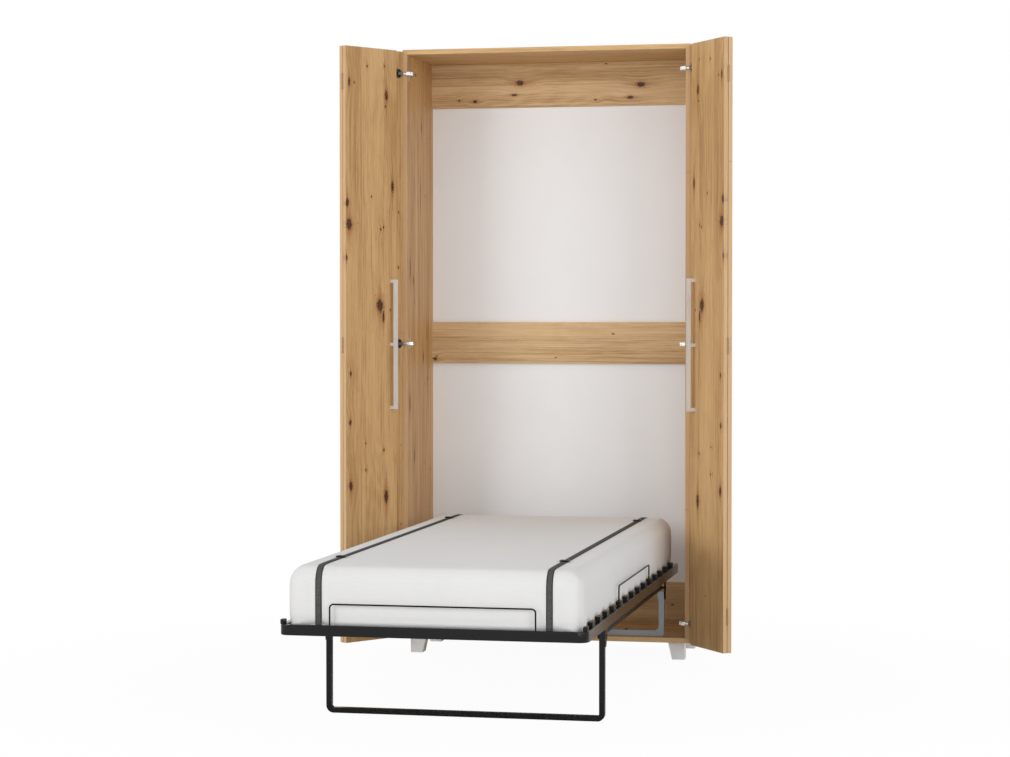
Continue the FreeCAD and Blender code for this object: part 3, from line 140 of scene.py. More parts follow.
def makeStage(values):
    world = bpy.data.worlds.new("studio")
    scene.world = world
    world.use_nodes = True
    tree = world.node_tree
    tree.nodes.clear()
    path = place(tree, "ShaderNodeLightPath")
    seen = math2(tree, "MAXIMUM", path.outputs["Is Camera Ray"], path.outputs["Is Transmission Ray"])
    seen = math2(tree, "MAXIMUM", seen, path.outputs["Is Glossy Ray"])
    soft = place(tree, "ShaderNodeBackground", {
        "Color": values["white"], "Strength": values["worldStrength"]})
    white = place(tree, "ShaderNodeBackground", {"Color": values["white"], "Strength": 1.0})
    both = place(tree, "ShaderNodeMixShader", {0: seen, 1: soft.outputs[0], 2: white.outputs[0]})
    place(tree, "ShaderNodeOutputWorld", {0: both.outputs[0]})
    for name, lamp in values["lamps"].items():
        addArea(name, *lamp)
    half = values["floorHalf"]
    corners = [(-half, -half, 0), (half, -half, 0), (half, half, 0), (-half, half, 0)]
    mesh = bpy.data.meshes.new("floor")
    mesh.from_pydata(corners, [], [(0, 1, 2, 3)])
    floor = bpy.data.objects.new("floor", mesh)
    scene.collection.objects.link(floor)
    paint = bpy.data.materials.new("paleFloor")
    paint.use_nodes = True
    tree = paint.node_tree
    tree.nodes.clear()
    matte = place(tree, "ShaderNodeBsdfDiffuse", {"Color": values["floorColour"]})
    glow = place(tree, "ShaderNodeEmission", {"Color": values["white"], "Strength": 1.0})
    path = place(tree, "ShaderNodeLightPath")
    away = place(tree, "ShaderNodeVectorMath", {0: place(tree, "ShaderNodeTexCoord").outputs["Object"]},
                 operation="LENGTH").outputs["Value"]
    white = ramp(tree, away, values["fadeFrom"], values["fadeTo"], values["shadowShare"], 1.0)
    white = math2(tree, "MULTIPLY", path.outputs["Is Camera Ray"], white)
    both = place(tree, "ShaderNodeMixShader", {0: white, 1: matte.outputs[0], 2: glow.outputs[0]})
    place(tree, "ShaderNodeOutputMaterial", {0: both.outputs[0]})
    mesh.materials.append(paint)
    scene.view_settings.view_transform = "Standard"


makeStage(stageValues)
print("camera and stage ready")


def newMaterial(name):
    made = bpy.data.materials.new(name)
    made.use_nodes = True
    tree = made.node_tree
    tree.nodes.clear()
    return made, tree


def finishMaterial(tree, shader):
    place(tree, "ShaderNodeOutputMaterial", {0: shader.outputs[0]})


def bumpOf(tree, height, strength, distance):
    inputs = {"Strength": strength, "Distance": distance, "Height": height}
    return place(tree, "ShaderNodeBump", inputs).outputs[0]


def noise(tree, vector, scale, detail=3.0, rough=0.55, distortion=0.0):
    inputs = {"Vector": vector, "Scale": scale, "Detail": detail, "Roughness": rough,
              "Distortion": distortion}
    return place(tree, "ShaderNodeTexNoise", inputs).outputs["Fac"]


def stretched(tree, vector, scale):
    return place(tree, "ShaderNodeVectorMath", {0: vector, 1: scale}, operation="MULTIPLY").outputs[0]


# knotty oak foil: staves, straight grain, low arches, flecks, knots and pale edge bands
oakValues = {
    "light": (0.700, 0.452, 0.214),
    "middle": (0.572, 0.350, 0.153),
    "dark": (0.385, 0.208, 0.082),
    "knot": (0.110, 0.036, 0.016),
    "crack": (0.022, 0.009, 0.006),
    "ring": (0.390, 0.180, 0.064),
    "band": (0.640, 0.440, 0.280),
    "bandShare": 0.7,
    "stave": 0.1085,
    "seamShare": 0.010,
    "pinCell": (0.085, 0.150),
    "pinSize": 0.040,
    "streak": (1.2, 0.22),
    "knotGrowth": 1.3,
    "knotBend": 0.012,
    # how close the knots' rough rims are, across and along the grain
    "ragged": (300, 170, 1),
    # how close each pattern is: across the grain, through the board and along the grain
    "broad": (16, 16, 1.1),
    "patch": (11, 11, 5),
    "lines": (210, 210, 2.2),
    "fine": (520, 520, 14),
    "figure": (8.0, 8.0, 0.75),
    "arches": 150.0,
    "pores": (1100, 1100, 42),
    "flecks": (420, 420, 38),
    # how much each pattern shifts the tone, then how dark its marks are
    "broadShare": 0.30,
    "lineShare": 0.42,
    "fineShare": 0.28,
    "archShare": 0.016,
    "staveShare": 0.06,
    "patchShade": 0.30,
    "poreShade": 0.22,
    "fleckShade": 0.55,
    "seamShade": 0.40,
    "haloShade": 0.70,
    "coreShade": 0.94,
    "roughLow": 0.40,
    "roughHigh": 0.58,
    "shine": 0.3,
    "bump": (0.22, 0.0006),
}
# places across and along the leaf from its hinge axis and the floor, then half width and half length
leafKnots = (
    (0.276, 2.134, 0.0046, 0.014), (0.096, 2.093, 0.0062, 0.016), (0.101, 2.053, 0.0026, 0.004),
    (0.190, 2.196, 0.0028, 0.004), (0.106, 2.202, 0.0026, 0.004), (0.067, 1.755, 0.0060, 0.018),
    (0.286, 1.690, 0.0060, 0.014), (0.277, 1.611, 0.0120, 0.018), (0.292, 1.488, 0.0055, 0.009),
    (0.111, 1.603, 0.0026, 0.004), (0.125, 1.595, 0.0028, 0.004), (0.129, 1.311, 0.0130, 0.020),
    (0.112, 1.270, 0.0046, 0.018), (0.270, 1.060, 0.0036, 0.009), (0.273, 0.880, 0.0048, 0.008),
    (0.270, 0.646, 0.0070, 0.015), (0.100, 0.600, 0.0085, 0.020), (0.110, 0.773, 0.0034, 0.004),
    (0.198, 0.702, 0.0028, 0.004), (0.200, 0.800, 0.0024, 0.003),
)
# on the rails: across is up from the floor, along is from the middle
railKnots = (
    (2.179, -0.174, 0.009, 0.013), (2.133, -0.197, 0.004, 0.010), (2.110, -0.353, 0.005, 0.007),
    (2.115, -0.416, 0.003, 0.004), (2.165, 0.300, 0.008, 0.015), (2.116, 0.259, 0.005, 0.010),
    (2.109, 0.124, 0.003, 0.004), (1.106, -0.513, 0.005, 0.006),
)
# on the side panels: across is back from the middle of the footprint, along is up from the floor
sideKnots = (
    (0.7465, 0.942, 0.0060, 0.026), (0.8145, 0.741, 0.0048, 0.018), (0.9655, 1.115, 0.0050, 0.016),
    (1.0345, 1.031, 0.0034, 0.009), (1.0245, 1.213, 0.0034, 0.034), (0.7535, 1.450, 0.0050, 0.034),
    (0.8055, 1.408, 0.0044, 0.016), (0.9335, 1.997, 0.0044, 0.016), (0.9195, 1.730, 0.0034, 0.054),
)


def knotField(tree, flat, knots, streak, growth):
    # distance to the nearest placed knot, where 1 is its own edge, and the same for its long streak
    nearest, nearestStreak = None, None
    for across, along, halfWide, halfLong in knots:
        wide, long = halfWide * growth, halfLong * growth
        scale, shift = (1 / wide, 1 / long, 0), (-across / wide, -along / long, 0)
        local = place(tree, "ShaderNodeVectorMath", {0: flat, 1: scale, 2: shift},
                      operation="MULTIPLY_ADD").outputs[0]
        reach = place(tree, "ShaderNodeVectorMath", {0: local}, operation="LENGTH").outputs["Value"]
        drawn = stretched(tree, local, (*streak, 0))
        drawn = place(tree, "ShaderNodeVectorMath", {0: drawn}, operation="LENGTH").outputs["Value"]
        nearest = math2(tree, "MINIMUM", nearest, reach) if nearest else reach
        nearestStreak = math2(tree, "MINIMUM", nearestStreak, drawn) if nearestStreak else drawn
    return nearest, nearestStreak


def oak(name, across, along, seed, origin=(0, 0, 0), knots=(), tint=None, values=oakValues):
    # across and along are unit vectors on the board's face
    made, tree = newMaterial(name)
    coords = place(tree, "ShaderNodeTexCoord")
    facing = Vector(across).cross(Vector(along))

    def run(direction):
        dot = place(tree, "ShaderNodeVectorMath", {0: coords.outputs["Object"], 1: tuple(direction)},
                    operation="DOT_PRODUCT").outputs["Value"]
        return math2(tree, "SUBTRACT", dot, Vector(direction).dot(Vector(origin)))

    def grain(vector, key, detail, rough, distortion=0.0):
        return noise(tree, stretched(tree, vector, values[key]), 1.0, detail, rough, distortion)

    side, length, depth = run(across), run(along), run(facing)
    flat = place(tree, "ShaderNodeCombineXYZ", {0: side, 1: length, 2: seed * 0.37}).outputs[0]
    ragged = ramp(tree, grain(flat, "ragged", 3.0, 0.65), 0.25, 0.75, 0.55, 1.5)
    # pin knots stand in a few cells of a stretched pattern
    cellScale = (1 / values["pinCell"][0], 1 / values["pinCell"][1], 0)
    cellPlace = place(tree, "ShaderNodeVectorMath", {0: flat, 1: cellScale, 2: (seed * 5.3, seed * 2.9, 0)},
                      operation="MULTIPLY_ADD").outputs[0]
    cells = place(tree, "ShaderNodeTexVoronoi", {"Vector": cellPlace, "Scale": 1.0}, voronoi_dimensions="2D")
    chance = place(tree, "ShaderNodeSeparateColor", {0: cells.outputs["Color"]}).outputs[0]
    pinSize = ramp(tree, chance, 0.60, 1.0, 0.0001, values["pinSize"])
    pin = math2(tree, "MULTIPLY", math2(tree, "DIVIDE", cells.outputs["Distance"], pinSize), ragged)
    core = ramp(tree, pin, 0.7, 1.1, 1.0, 0.0)
    halo, streaks, bend = ramp(tree, pin, 1.0, 2.6, 0.6, 0.0), 0.0, 0.0
    if knots:
        near, nearStreak = knotField(tree, flat, knots, values["streak"], values["knotGrowth"])
        rough = math2(tree, "MULTIPLY", near, ragged)
        core = math2(tree, "MAXIMUM", core, ramp(tree, rough, 0.72, 1.05, 1.0, 0.0))
        halo = math2(tree, "MAXIMUM", halo, ramp(tree, rough, 0.9, 2.7, 1.0, 0.0))
        streaks = ramp(tree, math2(tree, "MULTIPLY", nearStreak, ragged), 0.25, 1.1, 0.8, 0.0)
        bend = share(tree, ramp(tree, near, 0.8, 6.0, 1.0, 0.0), values["knotBend"])
    # staves of slightly different tone, with their own grain
    strip = math2(tree, "DIVIDE", side, values["stave"])
    index = math2(tree, "FLOOR", strip)
    stripTone = place(tree, "ShaderNodeTexWhiteNoise", {"W": math2(tree, "ADD", index, seed * 17.3)},
                      noise_dimensions="1D").outputs[0]
    edge = math2(tree, "ABSOLUTE", math2(tree, "SUBTRACT", math2(tree, "SUBTRACT", strip, index), 0.5))
    seam = ramp(tree, edge, 0.5 - values["seamShare"], 0.5)
    bent = place(tree, "ShaderNodeCombineXYZ", {
        0: math2(tree, "ADD", side, bend), 1: depth,
        2: math2(tree, "ADD", length, share(tree, stripTone, 9.0))}).outputs[0]
    broad = grain(bent, "broad", 3.0, 0.5, 0.4)
    patch = grain(bent, "patch", 3.0, 0.6, 0.6)
    lines = grain(bent, "lines", 4.0, 0.62, 0.15)
    fine = grain(bent, "fine", 3.0, 0.65)
    figure = grain(bent, "figure", 1.0, 0.4, 0.2)
    arches = math2(tree, "SINE", share(tree, figure, values["arches"]))
    arches = math2(tree, "MULTIPLY", arches, ramp(tree, stripTone, 0.45, 0.75))
    pores = ramp(tree, grain(bent, "pores", 1.0, 0.5), 0.62, 0.72)
    flecks = ramp(tree, grain(bent, "flecks", 2.0, 0.6), 0.63, 0.72)
    flecks = math2(tree, "MULTIPLY", flecks, ramp(tree, patch, 0.48, 0.62))
    tone = share(tree, broad, values["broadShare"])
    offset = math2(tree, "SUBTRACT", stripTone, 0.5)
    shifts = [(lines, "lineShare"), (fine, "fineShare"), (arches, "archShare"), (offset, "staveShare")]
    for part, key in shifts:
        tone = math2(tree, "ADD", tone, share(tree, part, values[key]))
    colour = mix(tree, ramp(tree, tone, 0.38, 0.50), values["dark"], values["middle"])
    colour = mix(tree, ramp(tree, tone, 0.47, 0.62), colour, values["light"])
    patches = ramp(tree, patch, 0.50, 0.72)
    marks = [(patches, "patchShade", "ring"), (pores, "poreShade", "dark"), (flecks, "fleckShade", "ring"),
             (seam, "seamShade", "dark")]
    for mark, shade, key in marks:
        colour = mix(tree, share(tree, mark, values[shade]), colour, values[key])
    if knots:
        colour = mix(tree, streaks, colour, values["ring"])
    halo = share(tree, math2(tree, "MULTIPLY", halo, halo), values["haloShade"])
    colour = mix(tree, halo, colour, values["ring"])
    inner = mix(tree, ramp(tree, ragged, 0.85, 1.15), values["crack"], values["knot"])
    colour = mix(tree, share(tree, core, values["coreShade"]), colour, inner)
    # pale bands close the board's narrow edges
    normal = place(tree, "ShaderNodeVectorMath", {0: coords.outputs["Normal"], 1: tuple(facing)},
                   operation="DOT_PRODUCT").outputs["Value"]
    onEdge = math2(tree, "LESS_THAN", math2(tree, "ABSOLUTE", normal), 0.55)
    paleBand = mix(tree, ramp(tree, lines, 0.35, 0.65), values["band"], values["light"])
    colour = mix(tree, share(tree, onEdge, values["bandShare"]), colour, paleBand)
    # the tint multiplies painted light and shade into the oak's colour: darker on the side panels, lighter on
    # the rails
    if tint:
        colour = mix(tree, 1.0, colour, tint, "MULTIPLY")
    rough = ramp(tree, lines, 0.3, 0.7, values["roughHigh"], values["roughLow"])
    height = math2(tree, "SUBTRACT", share(tree, lines, 0.5), share(tree, pores, 0.5))
    height = math2(tree, "SUBTRACT", height, share(tree, seam, 0.6))
    shader = place(tree, "ShaderNodeBsdfPrincipled", {"Base Color": colour, "Roughness": rough,
                   "Normal": bumpOf(tree, height, *values["bump"])})
    shader.inputs["Specular IOR Level"].default_value = values["shine"]
    finishMaterial(tree, shader)
    return made


# painted steel, metals and plastics share one recipe: tone, mottling and fine bump
def finish(name, colour, rough, metallic=0.0, gloss=0.5, spread=0.08, grain=900, bump=0.12, brushed=None,
           tips=None):
    made, tree = newMaterial(name)
    coords = place(tree, "ShaderNodeTexCoord").outputs["Object"]
    vector = stretched(tree, coords, brushed) if brushed else coords
    cloudy = noise(tree, coords, 7.0, 3.0)
    speck = noise(tree, vector, 1.0 if brushed else grain, 2.0)
    dark = tuple(channel * (1 - spread) for channel in colour)
    light = tuple(min(1.0, channel * (1 + spread)) for channel in colour)
    mottled = math2(tree, "ADD", share(tree, cloudy, 0.5), share(tree, speck, 0.5))
    tone = mix(tree, ramp(tree, mottled, 0.3, 0.7), dark, light)
    if tips:
        # behind this place the piece is dark
        back = place(tree, "ShaderNodeSeparateXYZ", {0: coords}).outputs[1]
        behind = share(tree, math2(tree, "GREATER_THAN", back, tips), 0.93)
        tone = mix(tree, behind, tone, (0.02, 0.02, 0.02))
    uneven = math2(tree, "ADD", cloudy, share(tree, speck, 0.6))
    roughness = ramp(tree, uneven, 0.5, 1.1, rough * 0.8, min(1.0, rough * 1.25))
    shader = place(tree, "ShaderNodeBsdfPrincipled", {"Base Color": tone, "Roughness": roughness,
                   "Normal": bumpOf(tree, speck, bump, 0.0003)})
    shader.inputs["Metallic"].default_value = metallic
    shader.inputs["Specular IOR Level"].default_value = gloss
    finishMaterial(tree, shader)
    return made


# woven cover: crossed threads, soft shade and a slight sheen
clothValues = {
    "colour": (0.728, 0.724, 0.718),
    "shade": (0.671, 0.667, 0.661),
    "waves": 110,
    "bump": (0.22, 0.0005),
    "rough": 0.9,
    "sheen": 0.15,
    "shine": 0.2,
}


def cloth(name, values):
    made, tree = newMaterial(name)
    coords = place(tree, "ShaderNodeTexCoord").outputs["Object"]
    threads = {"Vector": coords, "Scale": values["waves"], "Distortion": 0.4, "Detail": 1.0}
    waves = [place(tree, "ShaderNodeTexWave", threads, wave_type="BANDS", bands_direction=axis).outputs["Fac"]
             for axis in "XYZ"]
    weave = math2(tree, "ADD", math2(tree, "MULTIPLY", waves[0], waves[1]), share(tree, waves[2], 0.5))
    cloudy = noise(tree, coords, 3.0, 4.0)
    slub = noise(tree, stretched(tree, coords, (40, 260, 260)), 1.0, 2.0)
    tone = math2(tree, "ADD", share(tree, cloudy, 0.5), share(tree, slub, 0.3))
    tone = math2(tree, "ADD", tone, share(tree, weave, 0.15))
    colour = mix(tree, ramp(tree, tone, 0.25, 0.65), values["shade"], values["colour"])
    height = math2(tree, "ADD", weave, share(tree, slub, 0.7))
    shader = place(tree, "ShaderNodeBsdfPrincipled", {"Base Color": colour,
                   "Normal": bumpOf(tree, height, *values["bump"])})
    shader.inputs["Roughness"].default_value = values["rough"]
    shader.inputs["Sheen Weight"].default_value = values["sheen"]
    shader.inputs["Specular IOR Level"].default_value = values["shine"]
    finishMaterial(tree, shader)
    return made


strapPlace = 0.355  # from the middle of the bed to the middle of each band

# flat webbing: ribs across the band on dark grey yarn, with darker edges
webbingValues = {
    "colour": (0.030, 0.030, 0.029),
    "light": (0.120, 0.119, 0.115),
    "edge": (0.006, 0.006, 0.006),
    "edgeFrom": 0.0066,
    "edgeTo": 0.0084,
    "rib": 0.0016,
    "yarn": 0.00144,
    "fuzz": 420,
    "bump": (0.4, 0.0005),
    "rough": 0.85,
    "shine": 0.2,
}


def webbing(name, values):
    made, tree = newMaterial(name)
    coords = place(tree, "ShaderNodeTexCoord").outputs["Object"]
    parts = place(tree, "ShaderNodeSeparateXYZ", {0: coords})
    run = math2(tree, "ADD", parts.outputs[1], parts.outputs[2])
    ribs = math2(tree, "SINE", share(tree, run, 2 * math.pi / values["rib"]))
    yarn = math2(tree, "SINE", share(tree, parts.outputs[0], 2 * math.pi / values["yarn"]))
    weave = ramp(tree, math2(tree, "MULTIPLY", ribs, yarn), -1.0, 1.0)
    fuzz = ramp(tree, noise(tree, stretched(tree, coords, (1, 0.6, 0.6)), values["fuzz"], 2.0), 0.3, 0.7)
    tone = math2(tree, "ADD", share(tree, weave, 0.35), share(tree, fuzz, 0.65))
    colour = mix(tree, tone, values["colour"], values["light"])
    aside = math2(tree, "SUBTRACT", math2(tree, "ABSOLUTE", parts.outputs[0]), strapPlace)
    selvedge = ramp(tree, math2(tree, "ABSOLUTE", aside), values["edgeFrom"], values["edgeTo"])
    colour = mix(tree, selvedge, colour, values["edge"])
    shader = place(tree, "ShaderNodeBsdfPrincipled", {"Base Color": colour,
                   "Normal": bumpOf(tree, weave, *values["bump"])})
    shader.inputs["Roughness"].default_value = values["rough"]
    shader.inputs["Specular IOR Level"].default_value = values["shine"]
    finishMaterial(tree, shader)
    return made


black = finish("glossBlack", (0.0045, 0.0045, 0.005), 0.14, gloss=0.30, spread=0.25, bump=0.02)
rodBlack = finish("satinBlack", (0.005, 0.005, 0.0055), 0.30, gloss=0.12, spread=0.2, bump=0.04)
blackPlastic = finish("blackPlastic", (0.006, 0.006, 0.0065), 0.38, gloss=0.2, spread=0.2, bump=0.2)
greySteel = finish("greySteel", (0.335, 0.365, 0.39), 0.36, spread=0.06, bump=0.08)
zinc = finish("zincSteel", (0.66, 0.65, 0.63), 0.28, metallic=1.0, spread=0.1, bump=0.08)
armEnd = 0.752  # the hinge arms are dark behind this place
armSteel = finish("hingeArmSteel", (0.80, 0.79, 0.77), 0.22, metallic=1.0, spread=0.1, bump=0.05, tips=armEnd)
# the cups are darker than the arms: a dark steel tone that is partly painted shade, where the flange sits in
# shadow
cupSteel = finish("hingeCupSteel", (0.22, 0.21, 0.20), 0.32, metallic=0.9, spread=0.15, bump=0.08)
brownSteel = finish("brownSteel", (0.36, 0.225, 0.115), 0.5, gloss=0.3, spread=0.1, bump=0.1)
satin = finish("satinAluminium", (0.70, 0.685, 0.665), 0.48, metallic=0.3, spread=0.05, bump=0.06,
               brushed=(900, 900, 30))
palePlastic = finish("palePlastic", (0.90, 0.905, 0.915), 0.5, spread=0.03, bump=0.1)
backSheet = finish("backSheet", (0.885, 0.895, 0.912), 0.6, spread=0.02, grain=260, bump=0.08)
birch = finish("birchSlat", (0.60, 0.43, 0.26), 0.5, spread=0.22, brushed=(6, 160, 160), bump=0.15)
cover = cloth("whiteCover", clothValues)
band = webbing("greyWebbing", webbingValues)


mergeReach = 0.00002  # corners closer than this become one
sharpAngle = math.radians(40)  # edges sharper than this get a bevel


def dress(name, material, bevel, segments):
    piece = nodes[name]
    piece.data.materials.clear()
    piece.data.materials.append(material)
    if bevel:
        joined = piece.modifiers.new("joined", "WELD")
        joined.merge_threshold = mergeReach
        edge = piece.modifiers.new("edges", "BEVEL")
        edge.width = bevel
        edge.segments = segments
        edge.limit_method = "ANGLE"
        edge.angle_limit = sharpAngle
        edge.harden_normals = True


# the boards' patterns, with the doors' own swing and hinge axis
boardValues = {
    "doorSwing": math.radians(125),
    "hingeAxis": (0.5435, 0.704),
    "leafSeed": 20,
    # painted shade: the side panels get a darker copy of the oak, standing in for the shade inside the
    # cabinet
    "sidePaintedShade": (0.97, 0.95, 0.926),
    # painted light: the rails get a lighter, paler copy of the oak, against the shade they sit in under the
    # top board
    "railPaintedLight": (1.04, 1.14, 1.32),
    "topBand": 0.1,
    "edge": 0.0007,
}


def dressBoards(values):
    # each board: across and along its face, seed, start, knots and tint, the tint being painted light and
    # shade
    right, back, up, middle = (1, 0, 0), (0, 1, 0), (0, 0, 1), (0, 0, 0)
    boards = {
        "side_panel_left": (back, up, 1, middle, sideKnots, values["sidePaintedShade"]),
        "side_panel_right": (back, up, 2, middle, sideKnots, values["sidePaintedShade"]),
        "top_board": (back, right, 3, middle, (), None, dict(oakValues, bandShare=values["topBand"])),
        "bottom_board": (back, right, 4, middle),
        "top_rail": (up, right, 5, middle, railKnots, values["railPaintedLight"]),
        "middle_rail": (up, right, 6, middle, railKnots, values["railPaintedLight"]),
        "bottom_rail": (up, right, 7, middle, (), values["railPaintedLight"]),
    }
    # both doors are cut from the same printed pattern, mirrored
    for side, sign in (("left", -1), ("right", 1)):
        away = (-sign * math.cos(values["doorSwing"]), -math.sin(values["doorSwing"]), 0)
        start = (sign * values["hingeAxis"][0], values["hingeAxis"][1], 0)
        boards["inner_leaf_" + side] = (away, up, values["leafSeed"], start, leafKnots)
        boards["outer_leaf_" + side] = (away, up, len(boards) + 1, start)
    for name, pattern in boards.items():
        dress(name, oak("oak_" + name, *pattern), values["edge"], 2)


dressBoards(boardValues)

# finish, edge width and edge segments of the other nodes
finished = (
    (black, 0.0026, 4, ("side_rail_left", "side_rail_right", "foot_rail", "head_rail", "cross_tube")),
    (black, 0.0045, 5, ("support_leg",)),
    (black, None, 0, ("gas_cylinders", "base_frame_bolts", "link_pins", "pivot_bolts", "pivot_nuts",
                      "gas_studs", "leg_link_pins")),
    (rodBlack, 0.0005, 2, ("pivot_plates", "link_rods")),
    (rodBlack, None, 0, ("foot_hoop", "side_hoop_left", "side_hoop_right")),
    (blackPlastic, 0.0006, 2, ("pivot_bushes", "slat_caps", "corner_stops", "strap_sliders",
                               "strap_anchors")),
    (zinc, 0.0003, 2, ("wall_brackets",)),
    (zinc, None, 0, ("carcass_screws", "bracket_screws", "gas_pistons", "handle_screws_left",
                     "handle_screws_right")),
    (armSteel, 0.0004, 2, ("hinge_arms_left", "hinge_arms_right")),
    (cupSteel, 0.0003, 2, ("hinge_cups_left", "hinge_cups_right")),
    (brownSteel, 0.0002, 2, ("fold_hinges_outer_left", "fold_hinges_outer_right", "fold_hinges_inner_left",
                             "fold_hinges_inner_right")),
    (brownSteel, None, 0, ("fold_pins_left", "fold_pins_right")),
    (greySteel, 0.0012, 3, ("base_frame",)),
    (greySteel, 0.0005, 2, ("link_plates",)),
    (palePlastic, 0.0008, 3, ("cabinet_feet",)),
    (satin, 0.0007, 3, ("handle_left", "handle_right")),
    (backSheet, None, 0, ("lower_back_sheet", "upper_back_sheet")),
    (birch, 0.0010, 2, ("slats",)),
)
for material, edge, segments, names in finished:
    for name in names:
        dress(name, material, edge, segments)
print("frame dressed")


def smooth(piece):
    for face in piece.data.polygons:
        face.use_smooth = True


# mattress: the CAD form remeshed, puffed by a short cloth run and held down by the straps
mattressValues = {
    "voxel": 0.0145,
    "shrink": 0.004,
    "cap": 0.006,
    "pressure": 4.0,
    "quality": 4,
    "steps": 20,
    # pairs say where a change starts and where it is complete
    "lane": (0.014, 0.059),
    "fold": (0.004, 0.022),
    "swell": 0.009,
    "swellEdge": (0.004, 0.060),
    "droop": 0.0145,
    "droopEdge": (0.055, 0.085),
    "droopHeight": (0.015, 0.09),
    "rimSag": 0.008,
    "rimEdge": (0.020, 0.050),
    "rimHeight": (0.010, 0.05),
    "slatPlay": (0.004, 0.014),
    "crownLift": 0.75,
    "crownEdge": (0.012, 0.042),
    "topRise": 0.0025,
}


def applyAll(piece):
    graph = bpy.context.evaluated_depsgraph_get()
    done = bpy.data.meshes.new_from_object(piece.evaluated_get(graph))
    piece.modifiers.clear()
    old = piece.data
    piece.data = done
    bpy.data.meshes.remove(old)


def welded(source):
    # the frame's own mesh is loose triangles, so this copy is joined up first
    form = bmesh.new()
    form.from_mesh(source.data)
    bmesh.ops.remove_doubles(form, verts=form.verts, dist=mergeReach)
    bmesh.ops.recalc_face_normals(form, faces=form.faces)
    return form


def makeMattress(values):
    form = welded(nodes["mattress"])
    rest = BVHTree.FromBMesh(form)
    mesh = bpy.data.meshes.new("mattressCover")
    form.to_mesh(mesh)
    form.free()
    work = bpy.data.objects.new("mattressCover", mesh)
    scene.collection.objects.link(work)
    low, high = (Vector(corner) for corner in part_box("mattress"))
    remesh = work.modifiers.new("remesh", "REMESH")
    remesh.mode = "VOXEL"
    remesh.voxel_size = values["voxel"]
    applyAll(work)
    puffUp(work, values)
    split = work.modifiers.new("finer", "SUBSURF")
    split.levels = 1
    split.render_levels = 1
    applyAll(work)
    shapeMattress(work.data, rest, values, low, high)
    work.data.materials.append(cover)
    smooth(work)
    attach(work, "bed")
    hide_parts("mattress")
    return work


def puffUp(work, values):
    mesh = work.data
    start = [vertex.co.copy() for vertex in mesh.vertices]
    for vertex in mesh.vertices:
        vertex.co -= vertex.normal * values["shrink"]
    puff = work.modifiers.new("puff", "CLOTH")
    puff.settings.use_pressure = True
    puff.settings.uniform_pressure_force = values["pressure"]
    puff.settings.effector_weights.gravity = 0
    puff.settings.quality = values["quality"]
    puff.point_cache.frame_start = 1
    puff.point_cache.frame_end = values["steps"]
    for step in range(1, values["steps"] + 1):
        scene.frame_set(step)
    applyAll(work)
    scene.frame_set(1)
    for vertex, home in zip(work.data.vertices, start):
        shift = vertex.co - home
        if shift.length > values["cap"]:
            shift *= values["cap"] / shift.length
        vertex.co = home + shift


def fade(value, span, start=0.0):
    # 0 before the span and 1 past it, with a soft change between
    part = max(0.0, min(1.0, (value - start - span[0]) / (span[1] - span[0])))
    return part * part * (3 - 2 * part)


def shapeMattress(mesh, rest, values, low, high):
    # crisp lower edge, sides that swell a little, and lanes pressed flat by the straps
    middle = (low + high) / 2
    edges = sorted({round(vertex.co.y, 4) for vertex in nodes["slats"].data.vertices})
    slats = [(first + last) / 2 for first, last in zip(edges[::2], edges[1::2])]
    slatHalf = (edges[1] - edges[0]) / 2
    normals = [vertex.normal.copy() for vertex in mesh.vertices]
    for vertex, normal in zip(mesh.vertices, normals):
        spot = vertex.co.copy()
        held = 1 - fade(abs(abs(spot.x) - strapPlace), values["lane"])
        under = 1 - fade(spot.z, values["fold"], low.z)
        home = rest.find_nearest(spot)[0]
        spot = spot.lerp(home, max(held, under))
        reaches = [min(high[axis] - spot[axis], spot[axis] - low[axis]) for axis in (0, 1)]
        if normal.z > 0.3:
            spot.z += (high.z - spot.z) * values["crownLift"] * fade(min(reaches), values["crownEdge"])
        # the rim hangs a little between the slats
        between = min(abs(spot.y - slat) for slat in slats) - slatHalf
        sag = fade(between, values["slatPlay"]) * (1 - fade(reaches[0], values["rimEdge"]))
        spot.z -= values["rimSag"] * sag * (1 - fade(spot.z, values["rimHeight"], low.z))
        # sides move outwards, and so does the rim of the underside
        for axis in (0, 1):
            side = 1 if spot[axis] > middle[axis] else -1
            out = values["swell"] * (1 - held) * (1 - fade(reaches[axis], values["swellEdge"]))
            spot[axis] += side * out
        if normal.z > 0.5:
            spot.z = min(spot.z, high.z + values["topRise"] * (1 - held))
        # past the last slat the foot end hangs down behind the rail
        hang = 1 - fade(reaches[1] if spot.y < middle.y else 1, values["droopEdge"])
        spot.z -= values["droop"] * hang * (1 - fade(spot.z, values["droopHeight"], low.z))
        vertex.co = spot


mattress = makeMattress(mattressValues)
print("mattress made")

# straps: webbing that follows a path over the mattress, with sewn ends, made by geometry nodes
strapValues = {
    "wide": 0.020,
    "thick": 0.0016,
    "edge": 0.0006,
    "lift": 0.0004,
    "step": 0.006,
    "seed": 4,
    # the path's ends on the rails, then its place on the mattress and its samples
    "anchorDrop": 0.027,
    "headRise": 0.003,
    "inset": 0.002,
    "sideFrom": 0.03,
    "corner": 0.085,
    "sideSteps": 6,
    "cornerSteps": 12,
    "topSteps": 60,
    "stitchPitch": 0.0040,
    "stitchLong": 0.0026,
    "stitchThick": 0.00045,
    "stitchInset": 0.0022,
    "sewn": ((0.030, 0.060), (0.34, 0.38)),
    "outward": 1.0,
}


